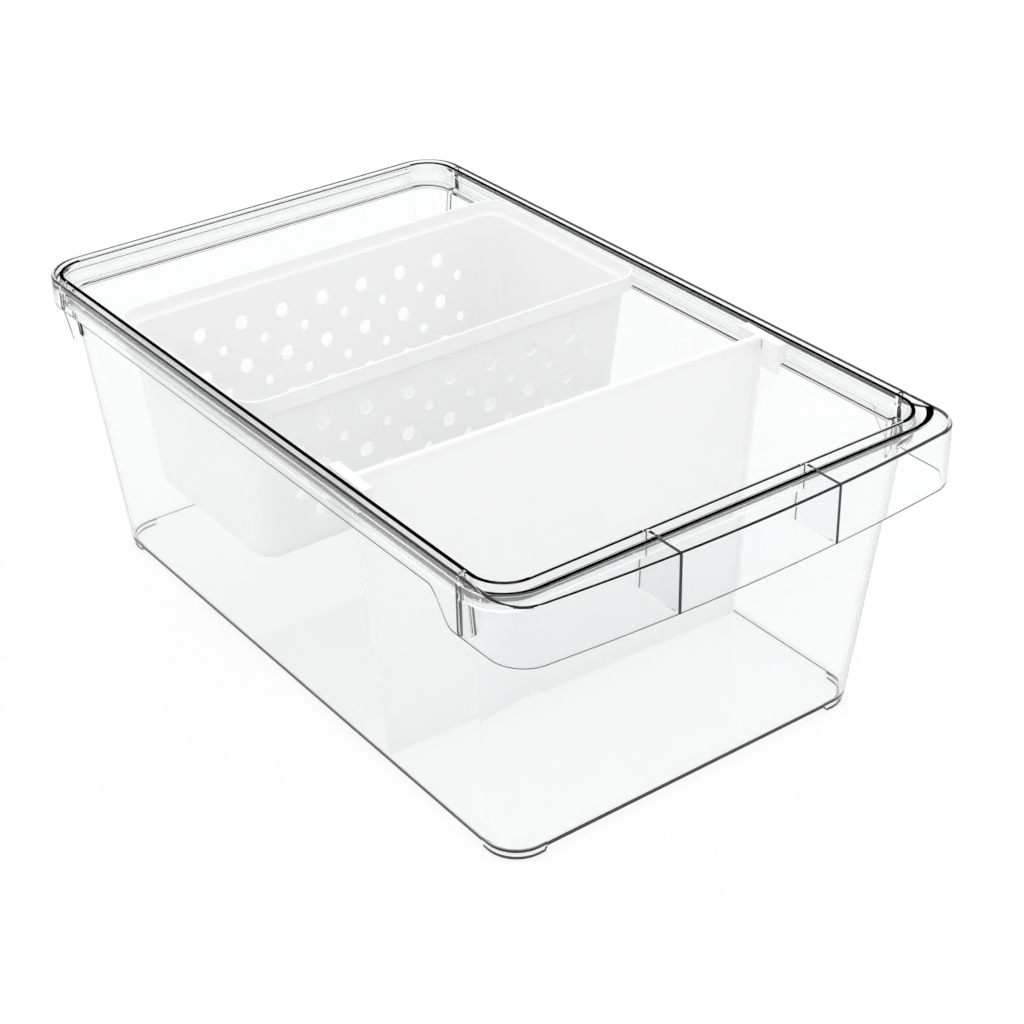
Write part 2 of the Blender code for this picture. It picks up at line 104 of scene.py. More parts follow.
# Part of the web's shoulder that gets painted shade, as shares of its reach
DARK_STRIP_START = 0.50
DARK_STRIP_END = 0.80
# Placing of the beads that carry the painted shade at the corner ribs
SHADE_BEAD_SINK = 0.4
SHADE_BEAD_START = 0.7
POLISH_SCALE = 60.0
RIPPLE_SCALE = 25.0
RIPPLE_STRENGTH = 0.2
GRAIN_SCALE = 900.0
GRAIN_STRENGTH = 0.05
GRAIN_SPREAD = 0.06
BUMP_DISTANCE = 0.1 * MM
WHITE_IOR = 1.5
FLOOR_SIZE = 6.0
FLOOR_COLOUR = (0.93, 0.93, 0.93, 1.0)
FLOOR_ROUGHNESS = 0.9
FLOOR_GLOW_SHARE = 0.8
PURE_WHITE = (1.0, 1.0, 1.0, 1.0)
GLOSSY_BOUNCES = 2
SENSOR_WIDTH = 36.0


class BinSizes(bpy.types.PropertyGroup):
    middle_y: FloatProperty(
        name="Middle", description="Middle of the collar along Y", default=0.0083, unit="LENGTH"
    )
    collar_half_width: FloatProperty(
        name="Collar half width",
        description="Outer half width of the collar",
        default=0.1050,
        unit="LENGTH",
    )
    collar_half_length: FloatProperty(
        name="Collar half length",
        description="Outer half length of the collar",
        default=0.1685,
        unit="LENGTH",
    )
    collar_radius: FloatProperty(
        name="Collar radius", description="Corner radius of the collar", default=0.0151, unit="LENGTH"
    )
    wall: FloatProperty(name="Wall", description="Wall thickness", default=0.0017, unit="LENGTH")
    ledge_step: FloatProperty(
        name="Ledge step",
        description="How far the walls step in under the collar",
        default=0.0032,
        unit="LENGTH",
    )
    ledge_drop: FloatProperty(
        name="Ledge drop", description="Depth of the ledge below the rim", default=0.0097, unit="LENGTH"
    )
    ledge_thickness: FloatProperty(
        name="Ledge thickness", description="Thickness of the ledge", default=0.0023, unit="LENGTH"
    )
    floor_half_width: FloatProperty(
        name="Floor half width",
        description="Outer half width at the floor",
        default=0.0917,
        unit="LENGTH",
    )
    floor_half_length: FloatProperty(
        name="Floor half length",
        description="Outer half length at the floor",
        default=0.1546,
        unit="LENGTH",
    )
    floor_radius: FloatProperty(
        name="Floor radius", description="Corner radius at the floor", default=0.0150, unit="LENGTH"
    )
    floor_thickness: FloatProperty(
        name="Floor thickness", description="Thickness of the floor", default=0.0014, unit="LENGTH"
    )
    channel_gap: FloatProperty(
        name="Channel gap", description="Gap between collar and skirt", default=0.0019, unit="LENGTH"
    )
    valley_depth: FloatProperty(
        name="Valley depth",
        description="Depth of the web below the rim beside the collar",
        default=0.0044,
        unit="LENGTH",
    )
    shoulder_reach: FloatProperty(
        name="Shoulder reach",
        description="Distance from the collar over which the web rises to the rim",
        default=0.0083,
        unit="LENGTH",
    )
    web_thickness: FloatProperty(
        name="Web thickness", description="Thickness of the web", default=0.0015, unit="LENGTH"
    )
    skirt_wall: FloatProperty(
        name="Skirt wall", description="Thickness of the skirt", default=0.0018, unit="LENGTH"
    )
    skirt_drop: FloatProperty(
        name="Skirt drop",
        description="Height of the skirt at the sides and back",
        default=0.0128,
        unit="LENGTH",
    )
    handle_drop: FloatProperty(
        name="Handle drop",
        description="Height of the skirt at the handle",
        default=0.0258,
        unit="LENGTH",
    )
    handle_reach: FloatProperty(
        name="Handle reach",
        description="Distance from the collar to the handle's front",
        default=0.0203,
        unit="LENGTH",
    )
    handle_bow: FloatProperty(
        name="Handle bow", description="Rise of the bowed handle front", default=0.0045, unit="LENGTH"
    )
    handle_radius: FloatProperty(
        name="Handle radius", description="Corner radius of the handle", default=0.0150, unit="LENGTH"
    )
    sweep_start: FloatProperty(
        name="Sweep start",
        description="Distance from the collar's front to the start of the sweep",
        default=0.0360,
        unit="LENGTH",
    )
    sweep_length: FloatProperty(
        name="Sweep length",
        description="Length of the sweep between both skirt heights",
        default=0.0140,
        unit="LENGTH",
    )
    rib_thickness: FloatProperty(
        name="Rib thickness", description="Thickness of the ribs", default=0.0014, unit="LENGTH"
    )
    handle_rib_spacing: FloatProperty(
        name="Handle rib spacing",
        description="Distance between the handle's ribs",
        default=0.0764,
        unit="LENGTH",
    )
    corner_rib_inset: FloatProperty(
        name="Corner rib inset",
        description="Distance from the collar's end to a corner rib",
        default=0.0180,
        unit="LENGTH",
    )
    corner_rib_drop: FloatProperty(
        name="Corner rib drop", description="Height of the corner ribs", default=0.0280, unit="LENGTH"
    )
    # Beads that carry the painted shade along the corner ribs
    shade_bead_width: FloatProperty(
        name="Seam width",
        description="Width of the beads along the corner ribs",
        default=0.0007,
        unit="LENGTH",
    )
    foot_height: FloatProperty(
        name="Foot height", description="Height of the feet", default=0.0030, unit="LENGTH"
    )
    foot_thickness: FloatProperty(
        name="Foot thickness", description="Thickness of the feet", default=0.0022, unit="LENGTH"
    )
    foot_tail: FloatProperty(
        name="Foot tail",
        description="Straight length at each end of a foot",
        default=0.0042,
        unit="LENGTH",
    )
    edge_round: FloatProperty(
        name="Edge round", description="Rounding of the moulded edges", default=0.0004, unit="LENGTH"
    )
    rim_round: FloatProperty(
        name="Rim round", description="Rounding of the rim's top edges", default=0.0008, unit="LENGTH"
    )
    fillet: FloatProperty(
        name="Fillet",
        description="Fillet in the valley beside the collar",
        default=0.0010,
        unit="LENGTH",
    )
    floor_fillet: FloatProperty(
        name="Floor fillet", description="Fillet between floor and walls", default=0.0014, unit="LENGTH"
    )


class BasketSizes(bpy.types.PropertyGroup):
    half_width: FloatProperty(
        name="Half width",
        description="Outer half width of the rim",
        default=BASKET_HIGH.x,
        unit="LENGTH",
    )
    half_length: FloatProperty(
        name="Half length",
        description="Outer half length of the rim",
        default=(BASKET_HIGH.y - BASKET_LOW.y) / 2,
        unit="LENGTH",
    )
    middle_y: FloatProperty(
        name="Middle",
        description="Middle of the basket",
        default=(BASKET_HIGH.y + BASKET_LOW.y) / 2,
        unit="LENGTH",
    )
    rim_radius: FloatProperty(
        name="Rim radius", description="Corner radius of the rim", default=0.0112, unit="LENGTH"
    )
    body_radius: FloatProperty(
        name="Body radius", description="Corner radius of the body", default=0.0110, unit="LENGTH"
    )
    wall: FloatProperty(name="Wall", description="Wall thickness", default=0.0015, unit="LENGTH")
    clearance: FloatProperty(
        name="Clearance",
        description="Gap between the body and the bin's walls",
        default=0.0013,
        unit="LENGTH",
    )
    seat_gap: FloatProperty(
        name="Seat gap", description="Gap between the rim and the ledge", default=0.0003, unit="LENGTH"
    )
    floor_round: FloatProperty(
        name="Floor round", description="Round between floor and walls", default=0.0080, unit="LENGTH"
    )
    hole_large: FloatProperty(
        name="Large hole",
        description="Width of the large holes",
        default=0.0069,
        unit="LENGTH",
    )
    hole_small: FloatProperty(
        name="Small hole",
        description="Width of the small holes",
        default=0.0048,
        unit="LENGTH",
    )
    hole_pitch: FloatProperty(
        name="Hole pitch", description="Distance between holes in a row", default=0.0213, unit="LENGTH"
    )
    row_pitch: FloatProperty(
        name="Row pitch",
        description="Distance between rows",
        default=0.01035,
        unit="LENGTH",
    )
    first_row: FloatProperty(
        name="First row",
        description="Depth of the first row below the rim",
        default=0.0209,
        unit="LENGTH",
    )
    rows: IntProperty(name="Rows", description="Number of rows of holes", default=5)
    large_in_row: IntProperty(name="Large in a row", description="Large holes in a row", default=7)
    small_in_row: IntProperty(name="Small in a row", description="Small holes in a row", default=8)


class DividerSizes(bpy.types.PropertyGroup):
    middle_y: FloatProperty(
        name="Middle",
        description="Middle of the panel",
        default=(DIVIDER_HIGH.y + DIVIDER_LOW.y) / 2,
        unit="LENGTH",
    )
    yaw: FloatProperty(
        name="Yaw",
        description="Turn of the divider about the vertical",
        default=math.radians(-2.2),
        unit="ROTATION",
    )
    panel_thickness: FloatProperty(
        name="Panel", description="Thickness of the panel", default=0.0016, unit="LENGTH"
    )
    edge_thickness: FloatProperty(
        name="Edge", description="Thickness of the strips round the panel", default=0.0030, unit="LENGTH"
    )
    edge_width: FloatProperty(
        name="Edge width",
        description="Width of the strips",
        default=0.0024,
        unit="LENGTH",
    )
    clearance: FloatProperty(
        name="Clearance",
        description="Gap between the panel and the side walls",
        default=0.0020,
        unit="LENGTH",
    )
    head_length: FloatProperty(
        name="Head length",
        description="Length of the heads",
        default=0.0250,
        unit="LENGTH",
    )
    head_width: FloatProperty(
        name="Head width",
        description="Width of the heads",
        default=0.0050,
        unit="LENGTH",
    )
    head_clearance: FloatProperty(
        name="Head clearance", description="Gap between heads and collar", default=0.0012, unit="LENGTH"
    )
    lip_thickness: FloatProperty(
        name="Lip", description="Thickness of the lip below a head", default=0.0018, unit="LENGTH"
    )
    lip_drop: FloatProperty(
        name="Lip drop", description="Height of the lip below the ledge", default=0.0043, unit="LENGTH"
    )
    slot_width: FloatProperty(
        name="Slot width",
        description="Width of the heads' slots",
        default=0.0009,
        unit="LENGTH",
    )
    slot_height: FloatProperty(
        name="Slot height", description="Height of the heads' slots", default=0.0042, unit="LENGTH"
    )
    slot_drop: FloatProperty(
        name="Slot drop",
        description="Depth of the slots below the divider's top",
        default=0.0009,
        unit="LENGTH",
    )
    seat_gap: FloatProperty(
        name="Seat gap", description="Gap under the heads and the panel", default=0.0003, unit="LENGTH"
    )
    edge_round: FloatProperty(
        name="Edge round", description="Rounding of the moulded edges", default=0.0004, unit="LENGTH"
    )


class Plastics(bpy.types.PropertyGroup):
    clear_colour: FloatVectorProperty(
        name="Clear",
        description="Tint of the clear plastic",
        subtype="COLOR",
        default=(0.985, 0.988, 0.990),
    )
    # Painted shade: near-black clear plastic that reflects nothing, for the bin's edges that look dark
    painted_shade_colour: FloatVectorProperty(
        name="Smoky",
        description="Tint of the clear plastic on its dark edges",
        subtype="COLOR",
        default=(0.002, 0.002, 0.002),
    )
    painted_shade_ior: FloatProperty(
        name="Smoky refraction",
        description="Refractive index on the dark edges, which reflect nothing",
        default=1.0,
    )
    clear_ior: FloatProperty(
        name="Refraction",
        description="Refractive index of the clear plastic",
        default=1.54,
    )
    clear_roughness: FloatProperty(
        name="Clear roughness",
        description="Roughness of the clear plastic",
        default=0.02,
        subtype="FACTOR",
    )
    white_colour: FloatVectorProperty(
        name="White",
        description="Colour of the white plastic",
        subtype="COLOR",
        default=(0.94, 0.94, 0.942),
    )
    white_roughness: FloatProperty(
        name="White roughness",
        description="Roughness of the white plastic",
        default=0.4,
        subtype="FACTOR",
    )


class StageSettings(bpy.types.PropertyGroup):
    azimuth: FloatProperty(
        name="Azimuth",
        description="Direction of the camera round the part",
        default=math.radians(-36.106),
        unit="ROTATION",
    )
    elevation: FloatProperty(
        name="Elevation",
        description="Height angle of the camera",
        default=math.radians(30.944),
        unit="ROTATION",
    )
    roll: FloatProperty(
        name="Roll",
        description="Roll of the camera",
        default=-0.019534,
        unit="ROTATION",
    )
    place: FloatVectorProperty(
        name="Camera place",
        description="Place of the camera",
        subtype="TRANSLATION",
        default=(-0.46446, -0.66361, 0.54104),
        precision=5,
    )
    focal_length: FloatProperty(
        name="Focal length", description="Focal length in millimetres on a 36 mm sensor", default=76.618
    )
    side_level: FloatProperty(
        name="Side level",
        description="Strength of the light from the sides",
        default=0.87,
    )
    top_level: FloatProperty(
        name="Top level",
        description="Strength of the light from above",
        default=1.2,
    )


# Selecting


def pick(kind, test):
    """Selects what passes the test in the mesh being edited, and nothing else."""
    bpy.ops.mesh.select_mode(type=kind)
    bpy.ops.mesh.select_all(action="DESELECT")
    mesh = bpy.context.edit_object.data
    work = bmesh.from_edit_mesh(mesh)
    work.normal_update()
    items = {"VERT": work.verts, "EDGE": work.edges, "FACE": work.faces}[kind]
    found = [item for item in items if test(item)]
    if not found:
        raise RuntimeError(f"nothing to select on {bpy.context.edit_object.name}")
    for item in found:
        item.select = True
    work.select_flush_mode()
    bmesh.update_edit_mesh(mesh)


def at_height(z):
    return lambda item: all(abs(v.co.z - z) < TOLERANCE for v in item.verts)


def pick_cap(z):
    """Selects the many-sided face that closes the shape at a height."""
    level = at_height(z)
    pick("FACE", lambda face: len(face.verts) > CAP_CORNERS and level(face))


def pick_folds(z):
    """Selects the edges at a height where the surface turns."""
    level = at_height(z)
    pick("EDGE", lambda edge: level(edge) and edge.calc_face_angle(0.0) > FLAT_ANGLE)


# Shaping


def start_sheet(name, half_width, front, back, z):
    """A flat rectangle at its size and place, left in edit mode."""
    bpy.ops.object.select_all(action="DESELECT")
    bpy.ops.mesh.primitive_plane_add(size=1.0, location=(0.0, 0.0, 0.0))
    sheet = bpy.context.object
    sheet.name = sheet.data.name = name
    bpy.ops.object.mode_set(mode="EDIT")
    bpy.ops.transform.resize(value=(2 * half_width, back - front, 1.0), center_override=(0.0, 0.0, 0.0))
    bpy.ops.transform.translate(value=(0.0, (front + back) / 2, z))
    return sheet


def round_corners(radius, segments, test):
    """Rounds the sheet's corners that pass the test."""
    pick("VERT", lambda vert: test(vert.co))
    bpy.ops.mesh.bevel(offset=radius, segments=segments, affect="VERTICES")


def lift(distance):
    bpy.ops.mesh.extrude_region_move(TRANSFORM_OT_translate={"value": (0.0, 0.0, distance)})


def selected_places():
    work = bmesh.from_edit_mesh(bpy.context.edit_object.data)
    return [vert.co.copy() for vert in work.verts if vert.select]


def next_ring(z, half_width, half_length, old_radius, radius, middle):
    """Extrudes the cap to a height, fits it to a new rectangle and gives its corners their radius."""
    places = selected_places()
    old_z = places[0].z
    old_half_width = max(p.x for p in places)
    old_half_length = max(p.y for p in places) - middle
    lift(z - old_z)
    wide, long = half_width / old_half_width, half_length / old_half_length
    bpy.ops.transform.resize(value=(wide, long, 1.0), center_override=(0.0, middle, z))
    reach = (old_radius * wide + TOLERANCE, old_radius * long + TOLERANCE)
    for side in (-1, 1):
        for end in (-1, 1):
            corner = Vector((side * half_width, middle + end * half_length, z))

            def in_corner(vert):
                near = abs(vert.co.x - corner.x) < reach[0] and abs(vert.co.y - corner.y) < reach[1]
                return near and vert.select

            chosen = bmesh.from_edit_mesh(bpy.context.edit_object.data)
            keep = {vert.index for vert in chosen.verts if in_corner(vert)}
            pick("VERT", lambda vert: vert.index in keep)
            bpy.ops.transform.resize(
                value=(radius / (old_radius * wide), radius / (old_radius * long), 1.0),
                center_override=corner,
            )
            pick_cap_from(z, half_width, half_length, middle)
    return radius


def pick_cap_from(z, half_width, half_length, middle):
    """Selects the cap at a height whose outline has the given half sizes."""

    def is_cap(face):
        if len(face.verts) <= CAP_CORNERS or any(abs(v.co.z - z) > TOLERANCE for v in face.verts):
            return False
        wide = max(v.co.x for v in face.verts)
        long = max(v.co.y for v in face.verts) - middle
        return abs(wide - half_width) < TOLERANCE and abs(long - half_length) < TOLERANCE

    pick("FACE", is_cap)


def shrink_cap(distance):
    bpy.ops.mesh.inset(thickness=distance, use_even_offset=True)


def round_folds(z, radius, segments):
    pick_folds(z)
    bpy.ops.mesh.bevel(offset=radius, segments=segments, affect="EDGES", clamp_overlap=True)


def leave_edit():
    bpy.ops.object.mode_set(mode="OBJECT")


def outward_faces():
    bpy.ops.mesh.select_all(action="SELECT")
    bpy.ops.mesh.normals_make_consistent(inside=False)


def solid_box(name, low, high):
    """A box between two corners, left in edit mode."""
    bpy.ops.object.select_all(action="DESELECT")
    bpy.ops.mesh.primitive_cube_add(size=1.0, location=(0.0, 0.0, 0.0))
    made = bpy.context.object
    made.name = made.data.name = name
    bpy.ops.object.mode_set(mode="EDIT")
    size = Vector(high) - Vector(low)
    bpy.ops.transform.resize(value=size, center_override=(0.0, 0.0, 0.0))
    bpy.ops.transform.translate(value=(Vector(low) + Vector(high)) / 2)
    return made


def move_where(test, step):
    pick("VERT", lambda vert: test(vert.co))
    bpy.ops.transform.translate(value=step)


def cut_across(place, normal):
    bpy.ops.mesh.select_all(action="SELECT")
    bpy.ops.mesh.bisect(plane_co=place, plane_no=normal)


def combine(target, tool, operation):
    """Joins a solid to the target, cuts it away or keeps what both share, and removes it."""
    bpy.ops.object.select_all(action="DESELECT")
    bpy.context.view_layer.objects.active = target
    target.select_set(True)
    step = target.modifiers.new("Combine", "BOOLEAN")
    step.operation = operation
    step.solver = "EXACT"
    step.object = tool
    bpy.ops.object.modifier_apply(modifier=step.name)
    bpy.data.objects.remove(tool, do_unlink=True)
    bpy.ops.object.mode_set(mode="EDIT")
    bpy.ops.mesh.select_all(action="SELECT")
    bpy.ops.mesh.remove_doubles(threshold=TOLERANCE / 2)
    bpy.ops.mesh.dissolve_degenerate(threshold=TOLERANCE / 2)
    bpy.ops.object.mode_set(mode="OBJECT")


def joined(parts):
    """Makes one object of separate solids, with its place in the mesh."""
    bpy.ops.object.select_all(action="DESELECT")
    for part in parts:
        part.select_set(True)
    bpy.context.view_layer.objects.active = parts[0]
    bpy.ops.object.join()
    bpy.ops.object.transform_apply(location=True, rotation=True, scale=True)
    return parts[0]


def reopen(obj):
    bpy.ops.object.select_all(action="DESELECT")
    bpy.context.view_layer.objects.active = obj
    obj.select_set(True)
    bpy.ops.object.mode_set(mode="EDIT")


def finish_surface(obj):
    """Smooth shading over the rounds, flat over the walls."""
    bpy.ops.object.select_all(action="DESELECT")
    bpy.context.view_layer.objects.active = obj
    obj.select_set(True)
    bpy.ops.object.shade_smooth_by_angle(angle=SMOOTH_ANGLE)
    step = obj.modifiers.new("Even shading", "WEIGHTED_NORMAL")
    step.keep_sharp = True
    step.weight = 50
    bpy.ops.object.modifier_apply(modifier=step.name)


def dress(obj, material):
    obj.data.materials.clear()
    obj.data.materials.append(material)


# The bin


def wall_share(sizes, z):
    low = sizes.foot_height
    high = CAD_HIGH.z - sizes.ledge_drop - sizes.ledge_thickness
    return (z - low) / (high - low)


def wall_half_width(sizes, z):
    top = sizes.collar_half_width - sizes.ledge_step
    return sizes.floor_half_width + (top - sizes.floor_half_width) * wall_share(sizes, z)


def wall_half_length(sizes, z):
    top = sizes.collar_half_length - sizes.ledge_step
    return sizes.floor_half_length + (top - sizes.floor_half_length) * wall_share(sizes, z)


def model_tub(sizes):
    """Floor, sloping walls, ledge and collar."""
    rim = CAD_HIGH.z
    ledge = rim - sizes.ledge_drop
    step = ledge - sizes.ledge_thickness
    floor = sizes.foot_height
    inside = floor + sizes.floor_thickness
    middle = sizes.middle_y
    tub = start_sheet(
        "clear_bin",
        sizes.floor_half_width,
        middle - sizes.floor_half_length,
        middle + sizes.floor_half_length,
        floor,
    )
    round_corners(sizes.floor_radius, CORNER_SEGMENTS, lambda co: True)
    pick_cap(floor)
    radius = next_ring(
        step,
        wall_half_width(sizes, step),
        wall_half_length(sizes, step),
        sizes.floor_radius,
        sizes.collar_radius,
        middle,
    )
    radius = next_ring(
        step,
        sizes.collar_half_width,
        sizes.collar_half_length,
        radius,
        sizes.collar_radius,
        middle,
    )
    lift(rim - step)
    shrink_cap(sizes.wall)
    radius -= sizes.wall
    lift(ledge - rim)
    radius = next_ring(
        ledge,
        wall_half_width(sizes, ledge) - sizes.wall,
        wall_half_length(sizes, ledge) - sizes.wall,
        radius,
        radius,
        middle,
    )
    next_ring(
        inside,
        wall_half_width(sizes, inside) - sizes.wall,
        wall_half_length(sizes, inside) - sizes.wall,
        radius,
        sizes.floor_radius - sizes.wall,
        middle,
    )
    outward_faces()
    round_folds(floor, 2 * sizes.edge_round, 4)
    round_folds(inside, sizes.floor_fillet, 4)
    round_folds(ledge, sizes.edge_round, 2)
    round_folds(step, sizes.edge_round, 2)
    round_folds(rim, sizes.rim_round, 4)
    leave_edit()
    return tub


def sheet_outline(name, sizes, inset, z):
    """Outline of the skirt seen from above, with its bowed handle front, as a flat sheet."""
    middle = sizes.middle_y
    offset = sizes.channel_gap + sizes.skirt_wall - inset
    half_width = sizes.collar_half_width + offset
    back = middle + sizes.collar_half_length + offset
    front = middle - sizes.collar_half_length - sizes.handle_reach + inset
    shoulder = front + sizes.handle_bow
    sheet = start_sheet(name, half_width, shoulder, back, z)
    round_corners(sizes.collar_radius + offset, CORNER_SEGMENTS, lambda co: co.y > 0)
    radius = sizes.handle_radius - inset
    round_corners(radius, CORNER_SEGMENTS, lambda co: co.y < 0)
    straight = half_width - radius
    pick("EDGE", lambda edge: all(v.co.y < shoulder + TOLERANCE for v in edge.verts))
    bpy.ops.mesh.subdivide(number_cuts=BOW_CUTS)
    for i in range(1, BOW_CUTS + 1):
        x = straight * (2 * i / (BOW_CUTS + 1) - 1)
        step = -sizes.handle_bow * (1 - (x / straight) ** 2)
        move_where(
            lambda co: abs(co.x - x) < TOLERANCE and co.y < shoulder + TOLERANCE,
            (0.0, step, 0.0),
        )
    return sheet


def model_skirt(sizes):
    """Outer skirt under a flat plate, deeper and further out at the handle."""
    rim = CAD_HIGH.z
    low = rim - sizes.handle_drop
    under = rim - sizes.web_thickness
    skirt = sheet_outline("skirt", sizes, 0.0, low)
    pick_cap(low)
    lift(sizes.handle_drop)
    pick_cap(low)
    shrink_cap(sizes.skirt_wall)
    lift(under - low)
    outward_faces()
    start = sizes.middle_y - sizes.collar_half_length + sizes.sweep_start
    rise = sizes.handle_drop - sizes.skirt_drop
    stations = [start - sizes.sweep_length * (1 - i / SWEEP_STEPS) for i in range(SWEEP_STEPS + 1)]
    for y in stations:
        cut_across((0.0, y, 0.0), (0.0, 1.0, 0.0))
    for i, y in enumerate(stations[1:], start=1):
        share = i / SWEEP_STEPS
        beyond = i == SWEEP_STEPS
        move_where(
            lambda co: abs(co.z - low) < TOLERANCE and (abs(co.y - y) < TOLERANCE or beyond and co.y > y),
            (0.0, 0.0, rise * share * share * (3 - 2 * share)),
        )
    pick("FACE", lambda face: face.normal.z < -0.3 and face.calc_center_median().z < under - sizes.wall)
    bpy.ops.mesh.region_to_loop()
    bpy.ops.mesh.bevel(offset=sizes.edge_round, segments=2, affect="EDGES")
    round_folds(rim, sizes.rim_round, 4)
    leave_edit()
    return skirt


def web_height(sizes, away):
    """Top of the web at a distance from the collar: it rises in a curve to the level of the rim."""
    share = 1 - away / sizes.shoulder_reach
    return CAD_HIGH.z - sizes.valley_depth * share * share


def model_bowl(name, sizes, drop, top):
    """Solid whose underside follows the web's curve round the collar, at a depth below it."""
    middle = sizes.middle_y
    away = -sizes.wall * 0.8
    low = web_height(sizes, away) - drop
    half_width = sizes.collar_half_width + away
    half_length = sizes.collar_half_length + away
    bowl = start_sheet(name, half_width, middle - half_length, middle + half_length, low)
    radius = sizes.collar_radius + away
    round_corners(radius, BOWL_SEGMENTS, lambda co: True)
    pick_cap(low)
    places = [sizes.shoulder_reach * (i + 1) / SHOULDER_STEPS for i in range(SHOULDER_STEPS)]
    heights = [web_height(sizes, away) - drop for away in places]
    places[-1] += sizes.edge_round
    heights[-1] += sizes.edge_round / 4
    for away, height in zip(places, heights):
        radius = next_ring(
            height,
            sizes.collar_half_width + away,
            sizes.collar_half_length + away,
            radius,
            sizes.collar_radius + away,
            middle,
        )
    lift(top - heights[-1])
    outward_faces()
    leave_edit()
    return bowl


def model_skirt_core(sizes, inset, flare):
    """Solid that fills the skirt's outline, opened towards the top by a quarter round."""
    high = CAD_HIGH.z
    core = sheet_outline("skirt_core", sizes, inset - flare, high + sizes.wall)
    pick_cap(high + sizes.wall)
    lift(-sizes.wall)
    for i in range(ROUND_STEPS if flare else 0):
        start = math.pi / 2 * i / ROUND_STEPS
        end = math.pi / 2 * (i + 1) / ROUND_STEPS
        shrink_cap(flare * (math.sin(end) - math.sin(start)))
        bpy.ops.transform.translate(value=(0.0, 0.0, flare * (math.cos(end) - math.cos(start))))
    lift(-sizes.handle_drop)
    outward_faces()
    leave_edit()
    return core


def dip_web(skirt, sizes):
    """Sinks the plate in a curve towards the collar."""
    middle_height = CAD_HIGH.z - sizes.web_thickness / 2
    lower = model_bowl("web_under", sizes, sizes.web_thickness, middle_height)
    combine(lower, model_skirt_core(sizes, sizes.skirt_wall / 2, 0.0), "INTERSECT")
    combine(skirt, lower, "UNION")
    upper = model_bowl("web_over", sizes, 0.0, CAD_HIGH.z + sizes.wall / 2)
    combine(upper, model_skirt_core(sizes, sizes.skirt_wall, sizes.rim_round), "INTERSECT")
    combine(skirt, upper, "DIFFERENCE")


def model_plug(sizes):
    """Solid with the collar's mid-wall outline, which opens the web for the tub."""
    middle = sizes.middle_y
    inset = sizes.wall / 2
    half_width = sizes.collar_half_width - inset
    half_length = sizes.collar_half_length - inset
    low = CAD_HIGH.z - sizes.handle_drop
    plug = start_sheet("plug", half_width, middle - half_length, middle + half_length, low - sizes.wall)
    round_corners(sizes.collar_radius - inset, PLUG_SEGMENTS, lambda co: True)
    pick_cap(low - sizes.wall)
    lift(sizes.handle_drop + 2 * sizes.wall)
    outward_faces()
    leave_edit()
    return plug


def fillet_valley(tub, sizes):
    """Fillet along the foot of the collar, where the web meets it."""
    start = -sizes.wall * 0.8
    end = sizes.shoulder_reach / SHOULDER_STEPS
    low = web_height(sizes, start)
    valley = low + (web_height(sizes, end) - low) * -start / (end - start)
    reopen(tub)
    pick(
        "EDGE",
        lambda edge: all(abs(v.co.z - valley) < 6 * TOLERANCE for v in edge.verts)
        and edge.calc_face_angle(0.0) > FLAT_ANGLE,
    )
    bpy.ops.mesh.bevel(offset=sizes.fillet, segments=3, affect="EDGES", clamp_overlap=True)
    leave_edit()


def model_handle_rib(sizes, side):
    """Upright plate across the handle; its inner edge follows the collar and the sloping wall."""
    rim = CAD_HIGH.z
    sink = sizes.edge_round / 4
    step = rim - sizes.ledge_drop - sizes.ledge_thickness
    low = rim - sizes.handle_drop + sink
    half = sizes.rib_thickness / 2
    x = side * sizes.handle_rib_spacing / 2
    straight = sizes.collar_half_width - sizes.handle_radius
    bow = sizes.handle_bow * (x / straight) ** 2
    front = sizes.middle_y - sizes.collar_half_length - sizes.handle_reach + bow + sizes.skirt_wall / 2
    collar = sizes.middle_y - sizes.collar_half_length + sizes.wall / 2
    rib = solid_box(f"handle_rib_{side}", (x - half, front, low), (x + half, collar, rim - sink))
    cut_across((0.0, 0.0, step + sink), (0.0, 0.0, 1.0))
    cut_across((0.0, 0.0, step - sink), (0.0, 0.0, 1.0))
    for z in (step - sink, low):
        wall = sizes.middle_y - wall_half_length(sizes, z) + sizes.wall / 2
        move_where(
            lambda co: abs(co.z - z) < TOLERANCE and abs(co.y - collar) < TOLERANCE,
            (0.0, wall - collar, 0.0),
        )
    leave_edit()
    return rib


def model_corner_rib(sizes, side, end):
    """Upright plate on a side wall near a corner, from the rim down past the skirt."""
    rim = CAD_HIGH.z
    sink = sizes.edge_round / 4
    step = rim - sizes.ledge_drop - sizes.ledge_thickness
    low = rim - sizes.corner_rib_drop
    skirt_low = rim - (sizes.handle_drop if end < 0 else sizes.skirt_drop) + 3 * sink
    half = sizes.rib_thickness / 2
    y = sizes.middle_y + end * (sizes.collar_half_length - sizes.corner_rib_inset)
    skirt = sizes.collar_half_width + sizes.channel_gap + sizes.skirt_wall / 2
    collar = sizes.collar_half_width - sizes.wall / 2
    xs = sorted((side * skirt, side * collar))
    rib = solid_box(f"corner_rib_{side}_{end}", (xs[0], y - half, low), (xs[1], y + half, rim - sink))
    for z in (step + sink, step - sink, skirt_low):
        cut_across((0.0, 0.0, z), (0.0, 0.0, 1.0))
    for z in (step - sink, skirt_low, low):
        if z > step:
            continue
        wall = wall_half_width(sizes, z) - sizes.wall / 2
        move_where(
            lambda co: abs(co.z - z) < TOLERANCE and abs(co.x - side * collar) < TOLERANCE,
            (side * (wall - collar), 0.0, 0.0),
        )
    taper = sizes.skirt_wall / 2 + sizes.edge_round * 5.5
    move_where(
        lambda co: abs(co.z - low) < TOLERANCE and abs(co.x - side * skirt) < TOLERANCE,
        (-side * taper, 0.0, 0.0),
    )
    leave_edit()
    return rib


